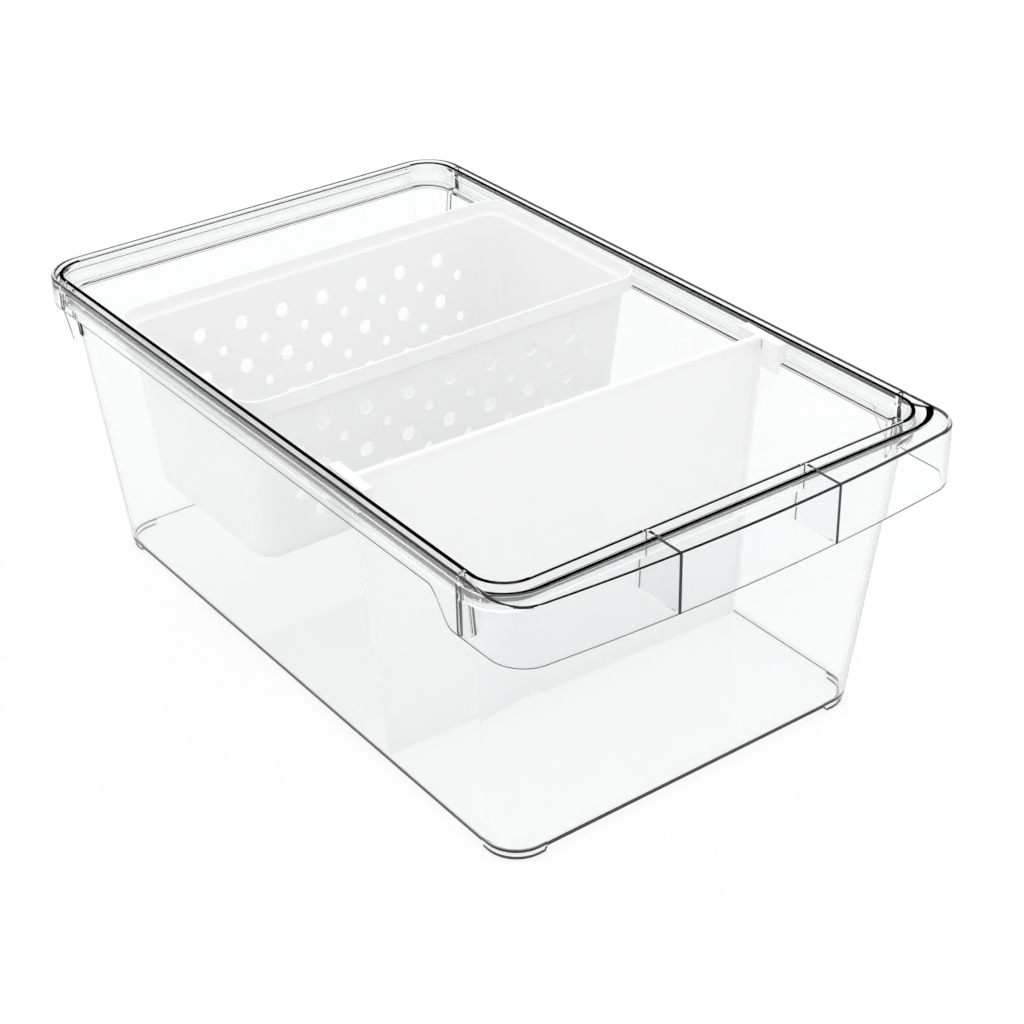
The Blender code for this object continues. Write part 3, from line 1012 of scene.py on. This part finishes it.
def model_shade_bead(sizes, side, end, at_skirt):
    """Narrow upright bead where a corner rib meets the skirt or the sloping wall; it carries the painted
    shade of that junction.
    """
    rim = CAD_HIGH.z
    bead = sizes.shade_bead_width
    half = sizes.rib_thickness / 2 + bead
    y = sizes.middle_y + end * (sizes.collar_half_length - sizes.corner_rib_inset)
    if at_skirt:
        high = rim - 2 * sizes.web_thickness
        low = rim - (sizes.handle_drop if end < 0 else sizes.skirt_drop) + sizes.edge_round
        outer = sizes.collar_half_width + sizes.channel_gap + sizes.skirt_wall * SHADE_BEAD_SINK
        inner = sizes.collar_half_width + sizes.channel_gap - bead
    else:
        high = rim - sizes.ledge_drop - sizes.ledge_thickness * SHADE_BEAD_START
        low = rim - sizes.corner_rib_drop + bead
        outer = wall_half_width(sizes, high) + bead
        inner = outer - bead - sizes.wall * SHADE_BEAD_SINK
    xs = sorted((side * outer, side * inner))
    name = "skirt_shade_bead" if at_skirt else "wall_shade_bead"
    shade_bead = solid_box(f"{name}_{side}_{end}", (xs[0], y - half, low), (xs[1], y + half, high))
    if not at_skirt:
        slope = wall_half_width(sizes, low) - wall_half_width(sizes, high)
        move_where(lambda co: abs(co.z - low) < TOLERANCE, (side * slope, 0.0, 0.0))
    leave_edit()
    return shade_bead


def model_foot(sizes, side, end):
    """Low curved wall under a floor corner: a short bar spun round the corner, with straight tails."""
    inset = sizes.edge_round * 1.5
    radius = sizes.floor_radius - inset
    centre = Vector(
        (
            side * (sizes.floor_half_width - sizes.floor_radius),
            sizes.middle_y + end * (sizes.floor_half_length - sizes.floor_radius),
            0.0,
        )
    )
    high = sizes.foot_height + sizes.floor_thickness / 2
    inner = radius - sizes.foot_thickness
    xs = sorted((centre.x + side * inner, centre.x + side * radius))
    tail = centre.y - end * sizes.foot_tail
    ys = sorted((centre.y, tail))
    foot = solid_box(f"foot_{side}_{end}", (xs[0], ys[0], 0.0), (xs[1], ys[1], high))
    move_where(
        lambda co: abs(co.y - tail) < TOLERANCE and co.z < TOLERANCE,
        (0.0, end * sizes.foot_height / 2, 0.0),
    )
    pick("FACE", lambda face: all(abs(v.co.y - centre.y) < TOLERANCE for v in face.verts))
    bpy.ops.mesh.spin(steps=FOOT_STEPS, angle=-side * end * math.pi / 2, center=centre, axis=(0.0, 0.0, 1.0))
    pick("FACE", lambda face: all(abs(v.co.x - centre.x) < TOLERANCE for v in face.verts))
    bpy.ops.mesh.extrude_region_move(TRANSFORM_OT_translate={"value": (-side * sizes.foot_tail, 0.0, 0.0)})
    end_x = centre.x - side * sizes.foot_tail
    move_where(
        lambda co: abs(co.x - end_x) < TOLERANCE and co.z < TOLERANCE,
        (side * sizes.foot_height / 2, 0.0, 0.0),
    )
    outward_faces()
    round_folds(0.0, 2 * sizes.edge_round, 3)
    leave_edit()
    return foot


def away_from_collar(sizes, x, y):
    """Distance from the collar's outer face seen from above, negative inside it."""
    across = abs(x) - (sizes.collar_half_width - sizes.collar_radius)
    along = abs(y - sizes.middle_y) - (sizes.collar_half_length - sizes.collar_radius)
    outside = math.hypot(max(across, 0.0), max(along, 0.0))
    return outside + min(max(across, along), 0.0) - sizes.collar_radius


# The tests below choose the faces that get painted shade, where edges look dark in the clear plastic
def is_collar_top(sizes, face, place, away):
    """The collar's top, which gets painted shade: all of it along the sides, only its rounds along the front
    and back.
    """
    in_collar = -sizes.wall < away < 0.0 and place.z > CAD_HIGH.z - sizes.edge_round
    on_side = abs(place.x) > sizes.collar_half_width - sizes.collar_radius
    return in_collar and (on_side or face.normal.z < STEEP)


def is_valley(sizes, face, place, away):
    """The foot of the collar, where the web is lowest, except along the right side; it gets painted shade.
    """
    valley = CAD_HIGH.z - sizes.valley_depth
    low = face.normal.z > 0.0 and abs(place.z - valley) < sizes.fillet * 1.2
    on_right = place.x > sizes.collar_half_width - sizes.collar_radius
    return low and -sizes.edge_round / 4 < away < sizes.fillet * 0.7 and not on_right


def is_shoulder_strip(sizes, face, place, away):
    """A strip of the web where it rises from the collar to the handle, which gets painted shade."""
    valley = CAD_HIGH.z - sizes.valley_depth
    start = sizes.shoulder_reach * DARK_STRIP_START
    end = sizes.shoulder_reach * DARK_STRIP_END
    return start < away < end and valley < place.z < CAD_HIGH.z and face.normal.z > NEARLY_UPRIGHT


def is_foot_edge(sizes, face, place):
    """The rounded lower edges of the feet, which get painted shade."""
    return place.z < 2 * sizes.edge_round and UNDERSIDE < face.normal.z < SIDEWAYS


def is_rib_shade_bead(sizes, face, place):
    """The beads along the corner ribs, under the web, whose upright sides get painted shade."""
    rib = sizes.rib_thickness / 2
    rib_y = sizes.collar_half_length - sizes.corner_rib_inset
    from_rib = abs(abs(place.y - sizes.middle_y) - rib_y)
    beside_rib = rib + TOLERANCE < from_rib < rib + sizes.shade_bead_width + TOLERANCE
    outside_wall = abs(place.x) > wall_half_width(sizes, place.z) + TOLERANCE
    inside_skirt = abs(place.x) < sizes.collar_half_width + sizes.channel_gap + TOLERANCE
    under_web = place.z < CAD_HIGH.z - sizes.valley_depth - sizes.wall
    upright = abs(face.normal.z) < NEARLY_UPRIGHT
    return beside_rib and outside_wall and inside_skirt and under_web and upright


def is_painted_shade(sizes, face):
    """Whether a face gets painted shade: it lies on an edge of the bin that looks dark in the clear plastic.
    """
    place = face.calc_center_median()
    away = away_from_collar(sizes, place.x, place.y)
    on_rim = is_collar_top(sizes, face, place, away) or is_valley(sizes, face, place, away)
    on_web = is_shoulder_strip(sizes, face, place, away)
    return on_rim or on_web or is_foot_edge(sizes, face, place) or is_rib_shade_bead(sizes, face, place)


def mark_painted_shade_edges(tub, sizes, material):
    """Gives the bin's dark edges the painted shade, a near-black clear plastic that reflects nothing."""
    tub.data.materials.append(material)
    reopen(tub)
    tub.active_material_index = 1
    pick("FACE", lambda face: is_painted_shade(sizes, face))
    bpy.ops.object.material_slot_assign()
    leave_edit()


class ORGANIZER_OT_clear_bin(bpy.types.Operator):
    """Model the clear bin with its rim, handle, ribs and feet"""

    bl_idname = "organizer.clear_bin"
    bl_label = "Clear Bin"

    def execute(self, context):
        sizes = context.scene.organizer_bin
        tub = model_tub(sizes)
        skirt = model_skirt(sizes)
        dip_web(skirt, sizes)
        combine(skirt, model_plug(sizes), "DIFFERENCE")
        combine(tub, skirt, "UNION")
        fillet_valley(tub, sizes)
        small_parts = [model_handle_rib(sizes, side) for side in (-1, 1)]
        for side in (-1, 1):
            for end in (-1, 1):
                small_parts.append(model_corner_rib(sizes, side, end))
                small_parts.append(model_foot(sizes, side, end))
        combine(tub, joined(small_parts), "UNION")
        # Beads at the corner ribs, which carry painted shade
        for at_skirt in (True, False):
            shade_beads = [model_shade_bead(sizes, side, end, at_skirt) for side in (-1, 1) for end in (-1, 1)]
            combine(tub, joined(shade_beads), "UNION")
        plastics = context.scene.organizer_plastics
        clear = clear_plastic("clear_plastic", plastics.clear_colour, plastics.clear_ior, plastics)
        # Painted shade for the edges that look dark in the clear plastic
        painted_shade = clear_plastic("painted_shade_plastic", plastics.painted_shade_colour, plastics.painted_shade_ior, plastics)
        dress(tub, clear)
        mark_painted_shade_edges(tub, sizes, painted_shade)
        finish_surface(tub)
        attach(tub, "bin")
        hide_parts("bin")
        return {"FINISHED"}


# The basket


def basket_inset(bin_sizes, sizes, z):
    """How far the basket's body stands in from its rim at a height."""
    return sizes.half_width - (wall_half_width(bin_sizes, z) - bin_sizes.wall - sizes.clearance)


def model_basket_shell(bin_sizes, sizes):
    """The basket's floor, sloping walls and rim, still without holes."""
    top = BASKET_HIGH.z
    floor = BASKET_LOW.z
    seat = CAD_HIGH.z - bin_sizes.ledge_drop + sizes.seat_gap
    middle = sizes.middle_y
    inset = basket_inset(bin_sizes, sizes, floor)
    half_length = sizes.half_length - inset
    basket = start_sheet(
        "white_basket",
        sizes.half_width - inset,
        middle - half_length,
        middle + half_length,
        floor,
    )
    round_corners(sizes.body_radius, BASKET_SEGMENTS, lambda co: True)
    pick_cap(floor)
    inset = basket_inset(bin_sizes, sizes, seat)
    radius = next_ring(
        seat,
        sizes.half_width - inset,
        sizes.half_length - inset,
        sizes.body_radius,
        sizes.body_radius,
        middle,
    )
    radius = next_ring(seat, sizes.half_width, sizes.half_length, radius, sizes.rim_radius, middle)
    lift(top - seat)
    shrink_cap(sizes.wall)
    radius = sizes.rim_radius - sizes.wall
    inner_seat = seat + sizes.wall
    lift(inner_seat - top)
    inset = basket_inset(bin_sizes, sizes, inner_seat) + sizes.wall
    radius = next_ring(
        inner_seat,
        sizes.half_width - inset,
        sizes.half_length - inset,
        radius,
        sizes.body_radius - sizes.wall,
        middle,
    )
    inner_floor = floor + sizes.wall
    inset = basket_inset(bin_sizes, sizes, inner_floor) + sizes.wall
    next_ring(inner_floor, sizes.half_width - inset, sizes.half_length - inset, radius, radius, middle)
    outward_faces()
    round_folds(floor, sizes.floor_round, 6)
    round_folds(inner_floor, sizes.floor_round - sizes.wall, 6)
    round_folds(seat, sizes.wall / 3, 2)
    round_folds(inner_seat, sizes.wall / 2, 2)
    round_folds(top, sizes.wall / 3, 3)
    leave_edit()
    return basket


def model_hole_pins(sizes):
    """All drain holes as one set of round pins through both walls."""
    pins = []
    for row in range(sizes.rows):
        large = row % 2 == 0
        count = sizes.large_in_row if large else sizes.small_in_row
        width = sizes.hole_large if large else sizes.hole_small
        z = BASKET_HIGH.z - sizes.first_row - sizes.row_pitch * row
        for i in range(count):
            x = sizes.hole_pitch * (i - (count - 1) / 2)
            bpy.ops.object.select_all(action="DESELECT")
            bpy.ops.mesh.primitive_cylinder_add(
                vertices=HOLE_VERTICES,
                radius=width / 2,
                depth=3 * sizes.half_length,
                location=(x, sizes.middle_y, z),
                rotation=(math.pi / 2, 0.0, 0.0),
            )
            pins.append(bpy.context.object)
    return joined(pins)


class ORGANIZER_OT_basket(bpy.types.Operator):
    """Model the perforated basket that hangs on the ledge"""

    bl_idname = "organizer.basket"
    bl_label = "Basket"

    def execute(self, context):
        sizes = context.scene.organizer_basket
        basket = model_basket_shell(context.scene.organizer_bin, sizes)
        combine(basket, model_hole_pins(sizes), "DIFFERENCE")
        finish_surface(basket)
        dress(basket, white_plastic("basket_plastic", context.scene.organizer_plastics))
        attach(basket, "basket")
        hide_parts("basket")
        return {"FINISHED"}


# The divider


def rounded_box(name, low, high, radius):
    made = solid_box(name, low, high)
    bpy.ops.mesh.select_all(action="SELECT")
    bpy.ops.mesh.bevel(offset=radius, segments=2, affect="EDGES")
    return made


def divider_half_width(bin_sizes, sizes, z):
    return wall_half_width(bin_sizes, z) - bin_sizes.wall - sizes.clearance


def model_panel(bin_sizes, sizes):
    """Upright panel that narrows towards the floor like the bin."""
    low = bin_sizes.foot_height + bin_sizes.floor_thickness + sizes.seat_gap
    high = DIVIDER_HIGH.z
    neck = CAD_HIGH.z - bin_sizes.ledge_drop - sizes.seat_gap
    half = divider_half_width(bin_sizes, sizes, neck)
    thin = sizes.panel_thickness / 2
    panel = solid_box("white_divider", (-half, -thin, low), (half, thin, high))
    cut_across((0.0, 0.0, neck), (0.0, 0.0, 1.0))
    low_half = divider_half_width(bin_sizes, sizes, low)
    pick("VERT", lambda vert: abs(vert.co.z - low) < TOLERANCE)
    bpy.ops.transform.resize(value=(low_half / half, 1.0, 1.0), center_override=(0.0, 0.0, low))
    leave_edit()
    return panel


def model_bead(bin_sizes, sizes):
    """Rounded strip along the top of the panel."""
    high = DIVIDER_HIGH.z
    neck = CAD_HIGH.z - bin_sizes.ledge_drop
    half = divider_half_width(bin_sizes, sizes, neck)
    thick = sizes.edge_thickness / 2
    bead = rounded_box(
        "bead", (-half, -thick, high - sizes.edge_width), (half, thick, high + TOLERANCE), sizes.edge_round
    )
    leave_edit()
    return bead


def model_side_strip(bin_sizes, sizes, side):
    """Strip along a sloping end of the panel."""
    low = bin_sizes.foot_height + bin_sizes.floor_thickness + sizes.seat_gap - TOLERANCE
    neck = CAD_HIGH.z - bin_sizes.ledge_drop
    outer = divider_half_width(bin_sizes, sizes, neck)
    lower = divider_half_width(bin_sizes, sizes, low)
    thick = sizes.edge_thickness / 2
    xs = sorted((side * (outer - sizes.edge_width), side * (outer + TOLERANCE)))
    strip = solid_box(f"side_strip_{side}", (xs[0], -thick, low), (xs[1], thick, neck))
    move_where(lambda co: co.z < low + TOLERANCE, (side * (lower - outer), 0.0, 0.0))
    bpy.ops.mesh.select_all(action="SELECT")
    bpy.ops.mesh.bevel(offset=sizes.edge_round, segments=2, affect="EDGES")
    leave_edit()
    return strip


def model_head(bin_sizes, sizes, side):
    """Block at an end of the divider, which rests on the ledge."""
    high = DIVIDER_HIGH.z + 2 * TOLERANCE
    seat = CAD_HIGH.z - bin_sizes.ledge_drop + sizes.seat_gap
    outer = bin_sizes.collar_half_width - bin_sizes.wall - sizes.head_clearance
    half = sizes.head_length / 2
    xs = sorted((side * outer, side * (outer - sizes.head_width)))
    head = rounded_box(f"head_{side}", (xs[0], -half, seat), (xs[1], half, high), sizes.edge_round)
    leave_edit()
    return head


def model_lip(bin_sizes, sizes, side):
    """Thin lip under a head's inner side, which keeps it on the ledge."""
    seat = CAD_HIGH.z - bin_sizes.ledge_drop + sizes.seat_gap
    inner = bin_sizes.collar_half_width - bin_sizes.wall - sizes.head_clearance - sizes.head_width
    half = sizes.head_length / 2 - TOLERANCE
    xs = sorted((side * (inner + TOLERANCE), side * (inner + sizes.lip_thickness)))
    low = seat - sizes.seat_gap - sizes.lip_drop
    high = seat + sizes.lip_thickness
    lip = rounded_box(f"lip_{side}", (xs[0], -half, low), (xs[1], half, high), sizes.edge_round)
    leave_edit()
    return lip


def model_slot(bin_sizes, sizes, side):
    """Small upright slot through a head, beside the panel."""
    outer = bin_sizes.collar_half_width - bin_sizes.wall - sizes.head_clearance
    xs = sorted((side * (outer - 2 * sizes.head_width), side * (outer + sizes.head_width)))
    high = DIVIDER_HIGH.z - sizes.slot_drop
    back = -sizes.edge_thickness / 2 - sizes.edge_round
    low_corner = (xs[0], back - sizes.slot_width, high - sizes.slot_height)
    slot = solid_box(f"slot_{side}", low_corner, (xs[1], back, high))
    leave_edit()
    return slot


class ORGANIZER_OT_divider(bpy.types.Operator):
    """Model the divider panel with its strips and heads"""

    bl_idname = "organizer.divider"
    bl_label = "Divider"

    def execute(self, context):
        bin_sizes = context.scene.organizer_bin
        sizes = context.scene.organizer_divider
        divider = model_panel(bin_sizes, sizes)
        combine(divider, model_bead(bin_sizes, sizes), "UNION")
        for side in (-1, 1):
            combine(divider, model_side_strip(bin_sizes, sizes, side), "UNION")
            combine(divider, model_head(bin_sizes, sizes, side), "UNION")
            combine(divider, model_lip(bin_sizes, sizes, side), "UNION")
        for side in (-1, 1):
            combine(divider, model_slot(bin_sizes, sizes, side), "DIFFERENCE")
        divider.rotation_euler.z = sizes.yaw
        divider.location.y = sizes.middle_y
        bpy.ops.object.select_all(action="DESELECT")
        divider.select_set(True)
        bpy.context.view_layer.objects.active = divider
        bpy.ops.object.transform_apply(location=True, rotation=True, scale=True)
        finish_surface(divider)
        dress(divider, white_plastic("divider_plastic", context.scene.organizer_plastics))
        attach(divider, "divider")
        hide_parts("divider")
        return {"FINISHED"}


# Finishes


def new_material(name):
    made = bpy.data.materials.new(name)
    made.use_nodes = True
    return made, made.node_tree, made.node_tree.nodes["Principled BSDF"]


def add_node(tree, kind, place, **values):
    node = tree.nodes.new(kind)
    node.location = place
    for key, value in values.items():
        setattr(node, key, value)
    return node


def clear_plastic(name, colour, refraction, settings):
    """Clear moulded plastic with a faint ripple and uneven polish."""
    made, tree, shader = new_material(name)
    shader.inputs["Base Color"].default_value = (*colour, 1.0)
    shader.inputs["Transmission Weight"].default_value = 1.0
    shader.inputs["IOR"].default_value = refraction
    place = add_node(tree, "ShaderNodeTexCoord", (-900, 0))
    polish = add_node(tree, "ShaderNodeTexNoise", (-700, 0))
    polish.inputs["Scale"].default_value = POLISH_SCALE
    polish.inputs["Detail"].default_value = 2.0
    tree.links.new(place.outputs["Object"], polish.inputs["Vector"])
    spread = add_node(tree, "ShaderNodeMapRange", (-450, 0))
    spread.inputs["To Min"].default_value = settings.clear_roughness / 2
    spread.inputs["To Max"].default_value = settings.clear_roughness * 1.5
    tree.links.new(polish.outputs["Fac"], spread.inputs["Value"])
    tree.links.new(spread.outputs["Result"], shader.inputs["Roughness"])
    ripple = add_node(tree, "ShaderNodeTexNoise", (-700, -300))
    ripple.inputs["Scale"].default_value = RIPPLE_SCALE
    ripple.inputs["Detail"].default_value = 1.0
    tree.links.new(place.outputs["Object"], ripple.inputs["Vector"])
    bump = add_node(tree, "ShaderNodeBump", (-450, -300))
    bump.inputs["Strength"].default_value = RIPPLE_STRENGTH
    bump.inputs["Distance"].default_value = BUMP_DISTANCE
    tree.links.new(ripple.outputs["Fac"], bump.inputs["Height"])
    tree.links.new(bump.outputs["Normal"], shader.inputs["Normal"])
    return made


def white_plastic(name, settings):
    """White moulded plastic with a fine grain."""
    made, tree, shader = new_material(name)
    shader.inputs["Base Color"].default_value = (*settings.white_colour, 1.0)
    shader.inputs["IOR"].default_value = WHITE_IOR
    place = add_node(tree, "ShaderNodeTexCoord", (-900, 0))
    grain = add_node(tree, "ShaderNodeTexNoise", (-700, 0))
    grain.inputs["Scale"].default_value = GRAIN_SCALE
    grain.inputs["Detail"].default_value = 3.0
    tree.links.new(place.outputs["Object"], grain.inputs["Vector"])
    spread = add_node(tree, "ShaderNodeMapRange", (-450, 0))
    spread.inputs["To Min"].default_value = settings.white_roughness - GRAIN_SPREAD
    spread.inputs["To Max"].default_value = settings.white_roughness + GRAIN_SPREAD
    tree.links.new(grain.outputs["Fac"], spread.inputs["Value"])
    tree.links.new(spread.outputs["Result"], shader.inputs["Roughness"])
    bump = add_node(tree, "ShaderNodeBump", (-450, -300))
    bump.inputs["Strength"].default_value = GRAIN_STRENGTH
    bump.inputs["Distance"].default_value = BUMP_DISTANCE
    tree.links.new(grain.outputs["Fac"], bump.inputs["Height"])
    tree.links.new(bump.outputs["Normal"], shader.inputs["Normal"])
    return made


# The stage


def place_camera(settings):
    """Camera at its place, turned by azimuth, elevation and roll."""
    a, e, roll = settings.azimuth, settings.elevation, settings.roll
    back = Vector((math.sin(a) * math.cos(e), -math.cos(a) * math.cos(e), math.sin(e)))
    right = Vector((math.cos(a), math.sin(a), 0.0))
    up = back.cross(right)
    turned_right = math.cos(roll) * right + math.sin(roll) * up
    turned_up = math.cos(roll) * up - math.sin(roll) * right
    camera = bpy.data.cameras.new("camera")
    camera.sensor_width = SENSOR_WIDTH
    camera.lens = settings.focal_length
    holder = bpy.data.objects.new("camera", camera)
    bpy.context.scene.collection.objects.link(holder)
    columns = (turned_right, turned_up, back, Vector(settings.place))
    holder.matrix_world = Matrix([[c[i] for c in columns] for i in range(3)] + [[0.0, 0.0, 0.0, 1.0]])
    bpy.context.scene.camera = holder


def light_dome(settings):
    """White for the camera, a soft plain dome as light, and a banded sky in the clear plastic."""
    world = bpy.data.worlds.new("studio")
    bpy.context.scene.world = world
    world.cycles.sampling_method = "NONE"
    world.use_nodes = True
    tree = world.node_tree
    tree.nodes.clear()
    output = add_node(tree, "ShaderNodeOutputWorld", (800, 0))
    path = add_node(tree, "ShaderNodeLightPath", (-300, 400))
    white = add_node(tree, "ShaderNodeBackground", (200, 200))
    white.inputs["Color"].default_value = PURE_WHITE
    plain = add_node(tree, "ShaderNodeBackground", (200, 0))
    plain.inputs["Color"].default_value = PURE_WHITE
    dome = add_node(tree, "ShaderNodeBackground", (200, -200))
    lit = add_node(tree, "ShaderNodeMixShader", (450, -100))
    tree.links.new(path.outputs["Diffuse Depth"], lit.inputs["Fac"])
    tree.links.new(dome.outputs["Background"], lit.inputs[1])
    tree.links.new(plain.outputs["Background"], lit.inputs[2])
    mix = add_node(tree, "ShaderNodeMixShader", (620, 0))
    tree.links.new(path.outputs["Is Camera Ray"], mix.inputs["Fac"])
    tree.links.new(lit.outputs["Shader"], mix.inputs[1])
    tree.links.new(white.outputs["Background"], mix.inputs[2])
    tree.links.new(mix.outputs["Shader"], output.inputs["Surface"])
    direction = add_node(tree, "ShaderNodeTexCoord", (-900, -200))
    split = add_node(tree, "ShaderNodeSeparateXYZ", (-700, -200))
    ramp = add_node(tree, "ShaderNodeValToRGB", (-300, -200))
    tree.links.new(direction.outputs["Generated"], split.inputs["Vector"])
    tree.links.new(split.outputs["Z"], ramp.inputs["Fac"])
    soft = add_node(tree, "ShaderNodeMapRange", (-100, 0))
    soft.inputs["To Min"].default_value = settings.side_level
    soft.inputs["To Max"].default_value = settings.top_level
    tree.links.new(split.outputs["Z"], soft.inputs["Value"])
    tree.links.new(soft.outputs["Result"], plain.inputs["Strength"])
    stops = ramp.color_ramp.elements
    stops.remove(stops[1])
    for i, (height, level) in enumerate(SKY_STOPS):
        stop = stops[0] if i == 0 else stops.new(height)
        stop.position = height
        stop.color = (level, level, level, 1.0)
    tree.links.new(ramp.outputs["Color"], dome.inputs["Color"])


def lay_floor():
    """Pale floor: plain white in view, with the object's faint shadow."""
    bpy.ops.object.select_all(action="DESELECT")
    bpy.ops.mesh.primitive_plane_add(size=FLOOR_SIZE, location=(0.0, 0.0, 0.0))
    floor = bpy.context.object
    floor.name = floor.data.name = "studio_floor"
    made, tree, shader = new_material("studio_floor")
    made.cycles.emission_sampling = "NONE"
    shader.inputs["Base Color"].default_value = FLOOR_COLOUR
    shader.inputs["Roughness"].default_value = FLOOR_ROUGHNESS
    shader.inputs["Specular IOR Level"].default_value = 0.0
    glow = add_node(tree, "ShaderNodeEmission", (0, -300))
    glow.inputs["Strength"].default_value = 1.0
    mix = add_node(tree, "ShaderNodeMixShader", (400, 0))
    path = add_node(tree, "ShaderNodeLightPath", (-600, 300))
    seen = add_node(tree, "ShaderNodeMath", (-400, 300), operation="MAXIMUM")
    seen_all = add_node(tree, "ShaderNodeMath", (-200, 300), operation="MAXIMUM")
    share = add_node(tree, "ShaderNodeMath", (0, 300), operation="MULTIPLY")
    share.inputs[1].default_value = FLOOR_GLOW_SHARE
    tree.links.new(path.outputs["Is Camera Ray"], seen.inputs[0])
    tree.links.new(path.outputs["Is Transmission Ray"], seen.inputs[1])
    tree.links.new(seen.outputs["Value"], seen_all.inputs[0])
    tree.links.new(path.outputs["Is Glossy Ray"], seen_all.inputs[1])
    tree.links.new(seen_all.outputs["Value"], share.inputs[0])
    straight = add_node(tree, "ShaderNodeMath", (0, 500), operation="LESS_THAN")
    straight.inputs[1].default_value = 0.5
    tree.links.new(path.outputs["Diffuse Depth"], straight.inputs[0])
    shown = add_node(tree, "ShaderNodeMath", (200, 400), operation="MULTIPLY")
    tree.links.new(share.outputs["Value"], shown.inputs[0])
    tree.links.new(straight.outputs["Value"], shown.inputs[1])
    tree.links.new(shown.outputs["Value"], mix.inputs["Fac"])
    tree.links.new(shader.outputs["BSDF"], mix.inputs[1])
    tree.links.new(glow.outputs["Emission"], mix.inputs[2])
    output = tree.nodes["Material Output"]
    tree.links.new(mix.outputs["Shader"], output.inputs["Surface"])
    dress(floor, made)


class ORGANIZER_OT_stage(bpy.types.Operator):
    """Set the camera, the light dome and the floor"""

    bl_idname = "organizer.stage"
    bl_label = "Stage"

    def execute(self, context):
        settings = context.scene.organizer_stage
        place_camera(settings)
        light_dome(settings)
        lay_floor()
        context.scene.view_settings.view_transform = "Standard"
        context.scene.cycles.blur_glossy = 0.0
        context.scene.cycles.glossy_bounces = GLOSSY_BOUNCES
        return {"FINISHED"}


class VIEW3D_PT_organizer(bpy.types.Panel):
    """Lists the organizer's pieces and their sizes"""

    bl_label = "Organizer"
    bl_space_type = "VIEW_3D"
    bl_region_type = "UI"
    bl_category = "Organizer"

    def draw(self, context):
        layout = self.layout
        for operator in PIECE_OPERATORS:
            layout.operator(operator.bl_idname)
        for name in SETTINGS:
            group = getattr(context.scene, name)
            box = layout.box()
            for key in group.bl_rna.properties.keys():
                if key not in {"rna_type", "name"}:
                    box.prop(group, key)


SETTINGS = {
    "organizer_bin": BinSizes,
    "organizer_basket": BasketSizes,
    "organizer_divider": DividerSizes,
    "organizer_plastics": Plastics,
    "organizer_stage": StageSettings,
}
PIECE_OPERATORS = (
    ORGANIZER_OT_clear_bin,
    ORGANIZER_OT_basket,
    ORGANIZER_OT_divider,
    ORGANIZER_OT_stage,
)


def register():
    for group in SETTINGS.values():
        bpy.utils.register_class(group)
    for operator in PIECE_OPERATORS:
        bpy.utils.register_class(operator)
    bpy.utils.register_class(VIEW3D_PT_organizer)
    for name, group in SETTINGS.items():
        setattr(bpy.types.Scene, name, PointerProperty(type=group))


def unregister():
    for name in SETTINGS:
        delattr(bpy.types.Scene, name)
    bpy.utils.unregister_class(VIEW3D_PT_organizer)
    for operator in reversed(PIECE_OPERATORS):
        bpy.utils.unregister_class(operator)
    for group in reversed(SETTINGS.values()):
        bpy.utils.unregister_class(group)


def main():
    register()
    bpy.ops.organizer.clear_bin()
    bpy.ops.organizer.basket()
    bpy.ops.organizer.divider()
    bpy.ops.organizer.stage()


if __name__ == "__main__":
    main()
